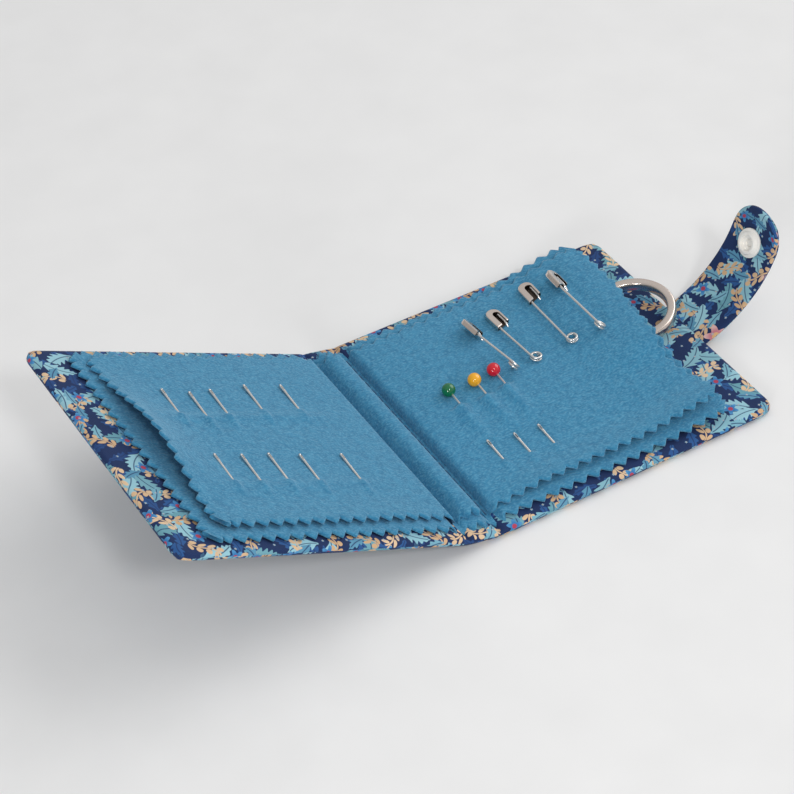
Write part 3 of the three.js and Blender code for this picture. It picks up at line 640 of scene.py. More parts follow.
def cover_cloth(half, seed):
    """The cloth of one cover and its half of the spine. The print runs on from half to half."""
    tall = COVER_HEIGHT / 2
    near_x, near_s = axis_rows(-SPINE_WIDTH / 2, FINE_END, FINE_STEP, 0, 0)
    rest_x, rest_s = axis_rows(FINE_END, COVER_WIDTH, COVER_STEP, 0, COVER_ROUND)
    xs, cloth_x = np.concatenate([near_x, rest_x[1:]]), np.concatenate([near_s, rest_s[1:]])
    ys, cloth_y = axis_rows(-tall, tall, COVER_STEP, COVER_ROUND, COVER_ROUND)
    x, y = grid(xs, ys)
    distance = np.minimum(COVER_WIDTH - x, tall - np.abs(y))
    swell = COVER_HALF * edge_profile(distance, COVER_ROUND) + 0.1 * bell((distance - 3.5) / 2)
    swell += 0.07 * ripple(x, y, seed, 16) * smooth_step(distance / 3)
    drawn = bell(x / 0.95) * smooth_step(distance / 1.5)
    plan_x, plan_y = round_corners(x, y, COVER_WIDTH, tall, CORNER_RADIUS)
    top = over_groove(half, plan_x, plan_y, COVER_MIDDLE + swell - 1.0 * drawn)
    bottom = over_groove(half, plan_x, plan_y, COVER_MIDDLE - swell + 0.5 * drawn)
    points, faces = slab(top, bottom)
    s = -SPINE_WIDTH - cloth_x if half == "front" else cloth_x
    under = cloth_uv(s + INNER_PRINT[0], INNER_PRINT[1] - cloth_y)
    uv = np.concatenate([cloth_uv(s, cloth_y), under])
    return piece(half + "_cover_cloth", points, faces, cover_cotton, uv)


for half, seed, spine_node in (("back", 11, "spine_outer_fabric"), ("front", 12, "spine_lining")):
    cloth = cover_cloth(half, seed)
    bend_at_groove(cloth, half)
    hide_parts(half + "_outer_fabric", half + "_lining", spine_node)
    half + "_board"
    print(cloth.name, len(cloth.data.polygons), "faces")
for node in ("back_board", "front_board", "spine_interfacing"):
    refinish(node, board)

# %% [markdown]
# ## Felt pages
# Each page is felt cut with pinking shears on three sides and sewn down in the groove. The teeth
# could be cut with a boolean; here the outer rows of a fine grid are drawn in by the tooth's wave,
# which leaves even quads that can also carry the page's lie and the small ridges where a needle or
# pin runs under the surface. Near the groove the page dives into the seam down a steep slope,
# which leaves the room that the fold needs. The back pages climb over the ring's loop, and in
# front of it they sag again and draw in their end.

# %% Felt pages
FELT = 1.2
PINKING_PITCH, PINKING_DEPTH = 5.0, 2.4
UPPER_REACH, UPPER_HEIGHT, UPPER_BASE = 89.0, 86.0, 2.4
LOWER_REACH, LOWER_HEIGHT, LOWER_BASE = 93.0, 94.0, 0.9
BACK_LOWER_REACH, BACK_END_DEPTH, BACK_SIDE_DEPTH = 90.0, 1.6, 1.8
RAMP_START, RAMP_END, RAMP_RISE = 55.0, 88.0, 5.25
CURL_LENGTH, CURL_HEIGHT, CURL_KEEP, CURL_ANCHOR = 24.0, 6.0, 0.86, 40
PAGE_CORNER, PAGE_SLOPE = 5.5, 1.95
LOWER_NOSE, UPPER_NOSE = 2.6, 0.9
TEETH_FADE, DRAWN_FADE = 7.0, 26.0


def near_edge_lift(x, y):
    """The page's near edge stands a little off the page below, except by the groove."""
    return smooth_step((-29 - y) / 14) * smooth_step((x - 5) / 18)


def ramp_lie(x, y):
    return RAMP_RISE * smooth_step((x - RAMP_START) / (RAMP_END - RAMP_START)) + 0 * y


def back_upper_lie(x, y):
    """Up over the ring's loop, with a sag in front of it and a lifted near edge."""
    sag = smooth_step((-7 - y) / 12) * (0.42 - 0.28 * smooth_step((-28 - y) / 14))
    lift = 1.5 * near_edge_lift(x, y) * (1 - 0.6 * smooth_step((x - 60) / 25))
    return ramp_lie(x, y) * (1 - sag) + lift


def back_lower_lie(x, y):
    return ramp_lie(x, y) * (1 - 0.6 * smooth_step((-6 - y) / 13))


def back_upper_drawn(y):
    return 3.6 * bell((y + 19) / 14) - 2.2 * smooth_step((y - 4) / 18)


def back_lower_drawn(y):
    return 1.2 * bell((y + 16) / 14) - 1.2 * smooth_step((y - 4) / 18)


def curl_lie(x, y):
    out = np.maximum(x - (UPPER_REACH - CURL_LENGTH), 0) / CURL_LENGTH
    middle = np.cos(np.pi * np.clip((y + 3) / (UPPER_HEIGHT + 6), -0.5, 0.5)) ** 2.6
    return CURL_HEIGHT * out * out * middle + 0.7 * near_edge_lift(x, y)


def level(x, y=0):
    """The lie of a page that is flat, or the end of one that isn't drawn in."""
    return 0 * x + 0 * y


def tooth(place, pitch):
    """0 at a tooth's tip and 1 in the notch, with soft tips. A page's corner is a notch."""
    saw = np.abs(2 * np.mod(place / pitch, 1) - 1)
    wave = 0.5 + 0.5 * np.cos(2 * np.pi * place / pitch)
    return 0.6 * saw + 0.4 * wave


def tooth_rows(low, high, pitch, per_tooth):
    teeth = int(round((high - low) / pitch))
    return np.linspace(low, high, teeth * per_tooth + 1), (high - low) / teeth


def felt_page(name, place, reach, size, lie, ridges, seed, drawn, teeth):
    """A page from its nose in the seam to its pinked end."""
    (height, base, nose), (end_depth, far_depth) = size, teeth
    xs, side_pitch = tooth_rows(0, reach, PINKING_PITCH, 8)
    ys, end_pitch = tooth_rows(-height / 2, height / 2, PINKING_PITCH, 8)
    beyond = xs[xs > nose + 0.5]
    x, y = grid(np.concatenate([np.linspace(nose, beyond[0], 3)[:-1], beyond]), ys)
    to_side, to_end = height / 2 - np.abs(y), reach - x
    plan_x, plan_y = round_corners(x, y, reach, height / 2, PAGE_CORNER)
    side_depth = np.sign(y) * np.where(y > 0, far_depth, PINKING_DEPTH)
    side_teeth = tooth(x, side_pitch) * np.clip(1 - to_side / TEETH_FADE, 0, 1)
    end_teeth = tooth(y + height / 2, end_pitch) * np.clip(1 - to_end / TEETH_FADE, 0, 1)
    plan_y = plan_y - side_depth * side_teeth
    plan_x = plan_x - end_depth * end_teeth - drawn(y) * smooth_step(1 - to_end / DRAWN_FADE)
    edge = np.minimum(to_side, to_end)
    round_off = FELT / 2 * (1 - (0.62 + 0.38 * edge_profile(edge, 0.7)))
    uneven = 0.16 * (ripple(plan_x, plan_y, seed, 30) + 1) * smooth_step(x / 15)
    lies = lie(plan_x, plan_y) + uneven
    top = lower_of(PAGE_SLOPE * (plan_x - nose) + 0.25, base + FELT + lies, 1.1)
    thick = FELT * (0.35 + 0.65 * smooth_step((plan_x - nose) / 4))
    bottom = top - thick + round_off
    top = top - round_off
    for ridge in ridges:
        top = top + ridge(plan_x, plan_y)
    points, faces = slab(place(plan_x, plan_y, top), place(plan_x, plan_y, bottom))
    return piece(name, points, faces, felt)


def run_under(from_groove, y_start, length, start_height, end_depth, radius, enters, width):
    """The ridge that felt makes over a pin which lies along -Y and slopes into it."""
    crosses = length * start_height / (start_height + end_depth)

    def ridge(x, y):
        s = y_start - y
        centre = start_height - (start_height + end_depth) * s / length
        shown = smooth_step((s - enters) / 1.1) * (1 - smooth_step((s - crosses - 1.5) / 5))
        cover = np.maximum(centre + radius + 0.16, 0)
        return cover * shown * bell((x - from_groove) / width)

    return ridge


def soft_fold(y_middle, height, width, low, high):
    """A shallow swell across the page, where a row of needles gathers the felt."""

    def ridge(x, y):
        along = smooth_step((x - low) / 12) * smooth_step((high - x) / 12)
        return height * along * bell((y - y_middle) / width)

    return ridge


# Where the needles lie: distance from the groove, and Y of the eye end
FRONT_NEEDLES = [(71, 23.6), (62, 22), (53.8, 23.4), (39.8, 25.8), (25.9, 25.8),
                 (70.9, -9.4), (61.6, -9.8), (51.8, -9.6), (40.8, -10.4), (25.5, -10.6)]
BACK_NEEDLES = [(15.8, -17.4), (24.6, -19.2), (33.1, -19.9)]
BALL_PINS = {"green": (17.3, 6.9), "yellow": (26.8, 6.6), "red": (34.6, 7.4)}
NEEDLE_RADIUS, NEEDLE_EYE_HEIGHT, NEEDLE_TIP_DEPTH = 0.4, 0.78, 0.62
LONG_NEEDLE, SHORT_NEEDLE = 28.0, 19.5
PIN_RADIUS, PIN_LENGTH, BALL_RADIUS = 0.32, 26.0, 2.25
PIN_HEAD_HEIGHT, PIN_TIP_DEPTH = 2.35, 0.6

front_ridges = [
    run_under(x, y, LONG_NEEDLE, NEEDLE_EYE_HEIGHT, NEEDLE_TIP_DEPTH, NEEDLE_RADIUS, 12.0, 1.2)
    for x, y in FRONT_NEEDLES
] + [soft_fold(9.6, 0.42, 2.4, 12, 84), soft_fold(-24.4, 0.22, 2.6, 12, 84)]
back_ridges = [
    run_under(x, y, SHORT_NEEDLE, NEEDLE_EYE_HEIGHT, NEEDLE_TIP_DEPTH, NEEDLE_RADIUS, 9.0, 1.2)
    for x, y in BACK_NEEDLES
] + [
    run_under(x, y, PIN_LENGTH, PIN_HEAD_HEIGHT, PIN_TIP_DEPTH, PIN_RADIUS, 6.0, 2.2)
    for x, y in BALL_PINS.values()
]

# Height, base and nose of each layer, and what it lies on
LAYERS = {
    "lower": ((LOWER_HEIGHT, LOWER_BASE, LOWER_NOSE), "_cover_cloth"),
    "upper": ((UPPER_HEIGHT, UPPER_BASE, UPPER_NOSE), "_lower_felt"),
}
# Depth of the teeth on a page's end and on its far side
EVEN_TEETH = (PINKING_DEPTH, PINKING_DEPTH)
MIXED_TEETH = (PINKING_DEPTH, BACK_SIDE_DEPTH)
BACK_TEETH = (BACK_END_DEPTH, BACK_SIDE_DEPTH)

pages = {}
for half, layer, reach, *shape in (
    ("front", "lower", LOWER_REACH, level, [], 21, level, EVEN_TEETH),
    ("front", "upper", UPPER_REACH, curl_lie, front_ridges, 22, level, MIXED_TEETH),
    ("back", "lower", BACK_LOWER_REACH, back_lower_lie, [], 23, back_lower_drawn, BACK_TEETH),
    ("back", "upper", UPPER_REACH, back_upper_lie, back_ridges, 24, back_upper_drawn, BACK_TEETH),
):
    size, under = LAYERS[layer]
    page = felt_page(f"{half}_{layer}_felt", HALVES[half][0], reach, size, *shape)
    set_on(page, f"{half}_{layer}_page", f"{half}_leaf_{layer}")
    reach * MM
    half + under
    pages[half, layer] = page
page_normal = on_front(0, 0, 1) - on_front(0, 0, 0)
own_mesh(pages["front", "upper"], "spine_hinge", axis=tuple(page_normal),
          anchor=in_metres(on_front(CURL_ANCHOR, 0, UPPER_BASE)), keep=CURL_KEEP)

# %% [markdown]
# ## Felt on the spine
# The two felt sheets run on over the spine between the grooves, and the stitching on both sides
# makes them stand up as one soft ridge. The section is the lower of two steep flanks and a flat
# arch, with rounded changes; the ends carry the same pinked teeth. In the grooves the felt is
# drawn down by the seam: a thin strip there follows the covers' bend.

# %% Spine band
BAND_SLOPE, BAND_KEEP = 1.45, 0.4
BAND_FOOT, BAND_EDGE, BAND_TOOTH = 0.3, 0.55, 3.4


def pinked_ends(across, height, per_tooth, shift):
    """A grid across the spine, with Y as it is, Y after pinking, and the distance to the end."""
    ys, _ = tooth_rows(-height / 2, height / 2, PINKING_PITCH, per_tooth)
    x, y = grid(across, ys)
    to_end = height / 2 - np.abs(y)
    teeth = tooth(x + shift, BAND_TOOTH) * np.clip(1 - to_end / 6, 0, 1)
    return x, y, y - np.sign(y) * PINKING_DEPTH * teeth, to_end


def spine_band(name, height, crest, low, seed):
    ts = np.linspace(BAND_EDGE, SPINE_WIDTH - BAND_EDGE, 29)
    t, y, plan_y, to_end = pinked_ends(ts, height, 8, 0.9)
    off = t - SPINE_WIDTH / 2
    arch = crest - 0.07 * off ** 2 + 0.1 * ripple(t, y, seed, 12)
    flank = BAND_SLOPE * (SPINE_WIDTH / 2 - 0.5 - np.abs(off)) + BAND_FOOT
    top = lower_of(flank, arch, 1.0)
    top = top - 0.35 * (1 - edge_profile(to_end, 0.7))
    bottom = np.minimum(top - 0.25, low + 0 * top)
    points, faces = slab(on_spine(t, plan_y, top), on_spine(t, plan_y, bottom))
    return piece(name, points, faces, felt)


spine_normal = on_spine(0, 0, 1) - on_spine(0, 0, 0)
for layer, width, height, crest, low, seed, under in (
    ("lower", 0.0110, LOWER_HEIGHT, 2.3, 0.3, 31, "back_cover_cloth"),
    ("upper", 0.0120, UPPER_HEIGHT, 4.4, 0.5, 32, "spine_felt_band_lower"),
):
    band = spine_band("spine_felt_band_" + layer, height, crest, low, seed)
    set_on(band, "spine", "spine_felt_" + layer)
    in_metres(on_spine(SPINE_WIDTH / 2, 0, BAND_FOOT))
    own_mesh(band)

# %% Felt in the grooves
GROOVE_REACH = 5.2


def groove_felt(half):
    across = np.linspace(-GROOVE_REACH, GROOVE_REACH, 41)
    x, y, plan_y, _ = pinked_ends(across, LOWER_HEIGHT, 4, 1.7)
    top = 0.28 + 0.5 * smooth_step((np.abs(x) - 0.7) / 2.4) + 0.04 * ripple(x, y, 33, 9)
    bottom = top - 0.12 - 0.3 * bell(x / 1.2)
    points, faces = slab(*(over_groove(half, x, plan_y, w) for w in (top, bottom)))
    return piece(half + "_groove_felt", points, faces, felt)


for half in HALVES:
    strip = groove_felt(half)
    bend_at_groove(strip, half)
    half + "_cover_cloth"
    print(strip.name, len(strip.data.polygons), "faces")

# %% [markdown]
# ## Stitches in the grooves
# A running line of machine stitches holds felt and covers together. This is what Geometry Nodes
# are for: a line of points, a small spindle on each, and named inputs for their count, the first
# place, the step to the next, and the spindle's size and turn. The instances are realised and the
# result is kept as a plain mesh.

# %% Stitches
STITCH_PITCH, STITCH_LENGTH, STITCH_THICKNESS, STITCH_LIFT = 4.0, 3.3, 0.55, 0.42
STITCH_TURN = (0.06, 0, 0.05)


def stitch_tree(finish):
    tree = bpy.data.node_groups.new("seam_stitches", "GeometryNodeTree")
    face = tree.interface
    face.new_socket("Geometry", in_out="OUTPUT", socket_type="NodeSocketGeometry")
    for name in ("Count", "Start", "Step", "Spindle", "Turn"):
        kind = "NodeSocketInt" if name == "Count" else "NodeSocketVector"
        face.new_socket(name, in_out="INPUT", socket_type=kind)
    made = {}
    for key, kind in (("given", "NodeGroupInput"), ("line", "GeometryNodeMeshLine"),
                      ("ball", "GeometryNodeMeshUVSphere"), ("shape", "GeometryNodeTransform"),
                      ("strew", "GeometryNodeInstanceOnPoints"),
                      ("real", "GeometryNodeRealizeInstances"),
                      ("coat", "GeometryNodeSetMaterial"), ("out", "NodeGroupOutput")):
        made[key] = tree.nodes.new(kind)
    for key, value in (("Segments", 8), ("Rings", 6), ("Radius", 1.0)):
        made["ball"].inputs[key].default_value = value
    made["coat"].inputs["Material"].default_value = finish.material
    for a, out, b, into in (
        ("given", "Count", "line", "Count"), ("given", "Start", "line", "Start Location"),
        ("given", "Step", "line", "Offset"), ("line", "Mesh", "strew", "Points"),
        ("ball", "Mesh", "shape", "Geometry"), ("given", "Spindle", "shape", "Scale"),
        ("given", "Turn", "shape", "Rotation"), ("shape", "Geometry", "strew", "Instance"),
        ("strew", "Instances", "real", "Geometry"), ("real", "Geometry", "coat", "Geometry"),
        ("coat", "Geometry", "out", "Geometry"),
    ):
        tree.links.new(made[a].outputs[out], made[b].inputs[into])
    return tree


def stitched_line(name, tree, **values):
    host = add_object(name, bpy.data.meshes.new(name + "_host"))
    modifier = host.modifiers.new("stitches", "NODES")
    modifier.node_group = tree
    for item in tree.interface.items_tree:
        if item.in_out == "INPUT" and item.name in values:
            modifier[item.identifier] = values[item.name]
    bpy.context.view_layer.update()
    shown = host.evaluated_get(bpy.context.evaluated_depsgraph_get())
    host_mesh = bpy.data.meshes.new_from_object(shown)
    host.modifiers.clear()
    host.data = host_mesh
    host_mesh.polygons.foreach_set("use_smooth", [True] * len(host_mesh.polygons))
    return host


seam_tree = stitch_tree(thread)
stitch_count = int((UPPER_HEIGHT - 6) / STITCH_PITCH) + 1
spindle = np.array([STITCH_THICKNESS, STITCH_LENGTH, STITCH_THICKNESS]) / 2
for name, across in (("back_seam", 0.0), ("front_seam", SPINE_WIDTH)):
    first = on_spine(across, -STITCH_PITCH * (stitch_count - 1) / 2, STITCH_LIFT)
    seam = stitched_line(name + "_stitches", seam_tree, Count=stitch_count,
                         Start=in_metres(first), Step=(0, STITCH_PITCH * MM, 0),
                         Spindle=in_metres(spindle), Turn=STITCH_TURN)
    set_on(seam, "spine", name + "_thread")

# %% [markdown]
# ## Strap
# The strap is a tube of the same cotton, pressed flat, caught in the edge seam of the back cover
# and rounded at its end. It stands up in one even bend. It folds when the book is shut, so it is
# two pieces that meet where nothing bends: one holds the root, the other the fold.

# %% Strap
STRAP_HALF_WIDTH, STRAP_THICKNESS, STRAP_LENGTH = 10.9, 1.8, 48.3
STRAP_BEND, STRAP_ROOT_ANGLE = 40.3, math.radians(18.4)
STRAP_ROOT = np.array([COVER_WIDTH / 2 + 0.6, -2.0, 1.4])
STRAP_FOLD, STRAP_MEET, STRAP_TUCK = 25.2, 12.7, -2.6
STRAP_PRINT, STRAP_UNDER_PRINT = (300, 20), (70, 0)


def strap_turn(along):
    sewn = smooth_step((along - STRAP_TUCK) / 3.6)
    return STRAP_ROOT_ANGLE * sewn + np.maximum(along, 0) / STRAP_BEND


def strap_line():
    """The strap's middle line: places and turns, integrated from the root."""
    s = np.linspace(STRAP_TUCK, STRAP_LENGTH, 1200)
    a = strap_turn(s)
    ds = np.gradient(s)
    x, z = np.cumsum(np.cos(a) * ds), np.cumsum(np.sin(a) * ds)
    at = np.interp(2.0, s, x), np.interp(2.0, s, z)
    root = STRAP_ROOT_ANGLE
    turn = root + 2.0 / STRAP_BEND
    want = (STRAP_ROOT[0] + STRAP_BEND * (math.sin(turn) - math.sin(root)),
            STRAP_ROOT[2] + STRAP_BEND * (math.cos(root) - math.cos(turn)))
    return s, x - at[0] + want[0], z - at[1] + want[1]


STRAP_S, STRAP_X, STRAP_Z = strap_line()


def on_strap(along, across, out):
    along, across, out = np.broadcast_arrays(along, across, out)
    a = strap_turn(along)
    x, z = np.interp(along, STRAP_S, STRAP_X), np.interp(along, STRAP_S, STRAP_Z)
    return np.stack([x - out * np.sin(a), STRAP_ROOT[1] + across, z + out * np.cos(a)], -1)


def strap_cloth(name, first, last, seed):
    edge_round = STRAP_THICKNESS / 2
    tip = edge_round if last == STRAP_LENGTH else 0
    ss, cloth_s = axis_rows(first, last, 0.7, 0, tip)
    cs, cloth_c = axis_rows(-STRAP_HALF_WIDTH, STRAP_HALF_WIDTH, 0.7, edge_round, edge_round)
    s, c = grid(ss, cs)
    distance = np.minimum(STRAP_HALF_WIDTH - np.abs(c), STRAP_LENGTH - s)
    swell = edge_round * edge_profile(distance, edge_round) * (0.55 + 0.45 * smooth_step(s / 5))
    swell = swell + 0.05 * ripple(s, c, seed, 11) * smooth_step(distance / 2)
    plan_s, plan_c = round_corners(s, c, STRAP_LENGTH, STRAP_HALF_WIDTH, STRAP_HALF_WIDTH)
    points, faces = slab(on_strap(plan_s, plan_c, swell), on_strap(plan_s, plan_c, -swell))
    upper = cloth_uv(cloth_s + STRAP_PRINT[0], cloth_c + STRAP_PRINT[1])
    uv = np.concatenate([upper, upper + STRAP_UNDER_PRINT])
    return piece(name, points, faces, cover_cotton, uv)


for part, first, last, seed, bodies, bend, node in (
    ("root", STRAP_TUCK, STRAP_MEET, 41, ("back_cover", "strap_lower_half"), (-0.6, 3.0),
     "strap_riser"),
    ("end", STRAP_MEET, STRAP_LENGTH, 42, ("strap_lower_half", "strap_upper_half"),
     (STRAP_FOLD - 4, STRAP_FOLD + 4), "strap_tab"),
):
    cloth = strap_cloth(f"strap_{part}_cloth", first, last, seed)
    start, end = (in_metres(on_strap(along, 0, 0)) for along in bend)
    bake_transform(cloth)
    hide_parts(node)
    (last - first) * MM
print("strap tip at", np.round(on_strap(STRAP_LENGTH, 0, 0), 1))

# %% [markdown]
# ## Turned pieces
# The snap and the ball-head pins are round about an axis. A profile of radius and height is spun
# into rings of points; no Spin operator is used, so no seam has to be merged afterwards.


# %% Turned pieces
def turned(profile, sides, place):
    """Points and faces of a profile spun about Z and set in place by a matrix."""
    angle = full_turn(sides)
    profile = np.asarray(profile, float)
    ring = np.stack([np.cos(angle), np.sin(angle), 0 * angle], -1)
    rings = profile[:, 0, None, None] * ring + profile[:, 1, None, None] * np.array([0, 0, 1])
    points, faces = ring_rows(rings)
    place = np.array(place)
    return points @ place[:3, :3].T + place[:3, 3], faces


def eased(profile, radius):
    """Rounds each corner of a profile with three points."""
    points = [np.array(p, float) for p in profile]
    out = [points[0]]
    for before, here, after in zip(points, points[1:], points[2:]):
        to_a, to_b = before - here, after - here
        r = min(radius, np.linalg.norm(to_a) * 0.45, np.linalg.norm(to_b) * 0.45)
        a = here + to_a / np.linalg.norm(to_a) * r
        b = here + to_b / np.linalg.norm(to_b) * r
        out += [a, (a + 2 * here + b) / 4, b]
    return out + [points[-1]]


def facing(place, z, x):
    """A matrix whose Z looks along z, with X near x."""
    z = Vector(z).normalized()
    y = z.cross(Vector(x)).normalized()
    x = y.cross(z)
    return Matrix([(x[i], y[i], z[i], place[i]) for i in range(3)] + [(0, 0, 0, 1)])


print("turning helper ready")

# %% [markdown]
# ## Press snap
# The socket on the strap's inner face is a flanged ring with a well, its cap sits behind the
# cloth, and the stud is on the outside of the front cover where the strap comes down on it.

# %% Press snap
SNAP_ALONG, SNAP_FLANGE = 35.7, 4.95
SOCKET_SEAT, CAP_SEAT, STUD_SEAT, STUD_INSET = 0.42, 0.15, 0.15, 6.5
snap_turn = float(strap_turn(np.array(SNAP_ALONG)))
snap_out = (-math.sin(snap_turn), 0, math.cos(snap_turn))
snap_side = (math.cos(snap_turn), 0, math.sin(snap_turn))
socket_profile = [(1.35, 0), (SNAP_FLANGE, 0), (SNAP_FLANGE, 0.8), (4.0, 1.0), (3.5, 2.0),
                  (2.65, 2.0), (2.45, 0.55), (1.35, 0.55), (1.35, 0.02)]
cap_profile = [(0.02, -1.5), (2.0, -1.42), (4.08, -0.9), (5.1, -0.36), (5.1, 0), (1.1, 0),
               (1.1, 2.6), (0.02, 2.6)]
stud_profile = [(1.35, 0), (4.55, 0), (4.55, 0.6), (4.15, 0.8), (1.95, 0.8), (2.1, 1.5),
                (1.9, 2.0), (1.35, 2.0), (1.35, 0.02)]
socket_at = on_strap(SNAP_ALONG, 0, STRAP_THICKNESS / 2 + SOCKET_SEAT)
socket_place = facing(socket_at, snap_out, snap_side)
cap_at = on_strap(SNAP_ALONG, 0, -STRAP_THICKNESS / 2 - CAP_SEAT)
cap_place = facing(cap_at, snap_out, snap_side)
front_out = (-math.sin(FRONT_TILT), 0, -math.cos(FRONT_TILT))
stud_at = on_front(COVER_WIDTH - STUD_INSET, STRAP_ROOT[1], -HINGE_HEIGHT - STUD_SEAT)
stud_place = facing(stud_at, front_out, (0, 1, 0))
for name, profile, place, body in (
    ("snap_socket", socket_profile, socket_place, "strap_upper_half"),
    ("snap_socket_cap", cap_profile, cap_place, "strap_upper_half"),
    ("snap_stud", stud_profile, stud_place, "front_cover"),
):
    points, faces = turned(eased(profile, 0.22), 56, place)
    set_on(piece(name + "_moulded", points, faces, cream_plastic), body, name)
refinish("snap_stud_cap", cream_plastic)

# %% [markdown]
# ## D-ring and its loop
# The ring is cast with a flat section and eased edges: a section swept round a D, a little heavier
# in the bow than in the bar. The bar sits in a loop of cotton sewn to the lining under the pages.

# %% D-ring
RING_BOW, RING_SET_BACK, RING_CORNER = 12.6, 4.1, 2.4
RING_RADIAL, RING_AXIAL = 2.7, 3.1
BOW_RADIAL, BOW_AXIAL, RING_SQUARE = 1.12, 1.24, 0.5
RING_BAR = np.array([COVER_WIDTH / 2 - 13.5 - RING_SET_BACK, 8.5, 5.5])
RING_TILT = math.radians(-9)


def ring_path():
    """Places round the D in its own plane, with the outward direction at each."""
    q = math.pi / 2
    parts = []

    def arc(cx, cy, r, a0, a1, steps):
        for a in np.linspace(a0, a1, steps):
            parts.append((cx + r * math.cos(a), cy + r * math.sin(a), math.cos(a), math.sin(a)))

    arc(0, 0, RING_BOW, -q, q, 64)
    inner = RING_BOW - RING_CORNER
    arc(-RING_SET_BACK + RING_CORNER, inner, RING_CORNER, q, 2 * q, 12)
    arc(-RING_SET_BACK + RING_CORNER, -inner, RING_CORNER, 2 * q, 3 * q, 12)
    return np.array(parts)


def ring_section(count=28):
    """A section between an ellipse and a rectangle."""
    a = full_turn(count)
    c, s = np.cos(a), np.sin(a)
    return np.stack([np.sign(c) * np.abs(c) ** RING_SQUARE * RING_RADIAL / 2,
                     np.sign(s) * np.abs(s) ** RING_SQUARE * RING_AXIAL / 2], -1)


def ring_to_book(x, y, z):
    c, s = math.cos(RING_TILT), math.sin(RING_TILT)
    x = x + RING_SET_BACK
    return RING_BAR + np.stack([x * c + z * s, y, -x * s + z * c], -1)


path, section = ring_path(), ring_section()
heavier = smooth_step((path[:, 0] + RING_SET_BACK) / RING_SET_BACK)[:, None]
radial = section[None, :, 0] * (1 + (BOW_RADIAL - 1) * heavier)
axial = section[None, :, 1] * (1 + (BOW_AXIAL - 1) * heavier)
at_x, at_y, out_x, out_y = (path[:, i, None] for i in range(4))
rings = ring_to_book(at_x + out_x * radial, at_y + out_y * radial, axial)
points, faces = ring_rows(rings, closed_path=True)
set_on(piece("d_ring_cast", points, faces, nickel), "ring", "d_ring")

# %% Ring loop
LOOP_MIDDLE, LOOP_THICKNESS, LOOP_EDGE = 2.27, 0.55, 0.27
LOOP_HALF_WIDTH, LOOP_TAIL = 8.5, 11.0
LOOP_PRINT = (200, 20)
bend = np.linspace(-math.pi / 2, math.pi * 1.42, 44)
loop_line = np.concatenate([
    np.stack([np.linspace(-LOOP_TAIL, -0.3, 14), np.full(14, -LOOP_MIDDLE)], -1),
    np.stack([LOOP_MIDDLE * np.cos(bend), LOOP_MIDDLE * np.sin(bend)], -1),
])
loop_along = unit_rows(np.gradient(loop_line, axis=0))
loop_normal = np.stack([-loop_along[:, 1], loop_along[:, 0]], -1)
loop_y, loop_cloth = axis_rows(-LOOP_HALF_WIDTH, LOOP_HALF_WIDTH, 1.0, LOOP_EDGE, LOOP_EDGE)
loop_round = edge_profile(LOOP_HALF_WIDTH - np.abs(loop_y), LOOP_EDGE)


def loop_sheet(side):
    offset = side * LOOP_THICKNESS / 2 * loop_round
    flat = loop_line[:, None, :] + loop_normal[:, None, :] * offset[None, :, None]
    y = np.broadcast_to(loop_y, flat.shape[:2])
    return RING_BAR + np.stack([flat[..., 0], y, flat[..., 1]], -1)


points, faces = slab(loop_sheet(1), loop_sheet(-1))
loop_steps = np.linalg.norm(np.diff(loop_line, axis=0), axis=1)
loop_length = np.concatenate([[0], np.cumsum(loop_steps)])
loop_uv = cloth_uv(loop_length + LOOP_PRINT[0], loop_cloth + LOOP_PRINT[1])
loop_uv = np.concatenate([loop_uv, loop_uv])
ring_loop = piece("ring_loop_cloth", points, faces, cover_cotton, loop_uv)
set_on(ring_loop, "back_cover", "ring_loop")

# %% [markdown]
# ## Needles
# A needle is a turned wire with a flattened eye. The eye is a real hole: two patches of faces on
# opposite sides are left out of the tube and the two openings are joined by a wall.

# %% Needles
NEEDLE_SIDES = 12
EYE_ROWS = (3, 7)


def needle_profile(length):
    flare = NEEDLE_RADIUS * 1.2
    eye = [(flare, along) for along in (0.7, 1.15, 1.6, 2.05, 2.5, 3.0)]
    shank = [(NEEDLE_RADIUS, 4.2), (NEEDLE_RADIUS, length - 6)]
    point = [(NEEDLE_RADIUS * 0.8, length - 4), (NEEDLE_RADIUS * 0.5, length - 1.8), (0.03, length)]
    return [(0.05, 0), (0.26, 0.06), (0.38, 0.3), *eye, *shank, *point]


def needle_shape(length):
    profile = np.array(needle_profile(length))
    angle = full_turn(NEEDLE_SIDES)
    rings = np.stack([
        profile[:, 0, None] * np.cos(angle), np.repeat(-profile[:, 1, None], NEEDLE_SIDES, 1),
        profile[:, 0, None] * np.sin(angle)], -1)
    points, faces = ring_rows(rings)
    low, high = EYE_ROWS

    def index(row, side):
        return row * NEEDLE_SIDES + side % NEEDLE_SIDES

    def gone(face):
        rows = {v // NEEDLE_SIDES for v in face}
        sides = {v % NEEDLE_SIDES for v in face}
        inside = min(rows) >= low and max(rows) <= high
        return inside and len(face) == 4 and (sides <= {2, 3, 4} or sides <= {8, 9, 10})

    def opening(sides):
        left, middle, right = sides
        return ([index(low, left), index(low, middle)]
                + [index(r, right) for r in range(low, high + 1)]
                + [index(high, middle)] + [index(r, left) for r in range(high, low, -1)])

    front, back = opening((2, 3, 4)), opening((10, 9, 8))
    walls = [(front[i], front[i - 1], back[i - 1], back[i]) for i in range(len(front))]
    return points, [f for f in faces if not gone(f)] + walls


def lay_along(points, side, page_frame, start, slope):
    """Sets a piece that runs along -Y on a page: tipped into the felt, then put in place."""
    c, s = math.cos(slope), math.sin(slope)
    x, y, z = points.T
    y, z = y * c - z * s, y * s + z * c
    from_groove, y0, height = start
    return page_frame(from_groove + side * x, y0 + y, height + z)


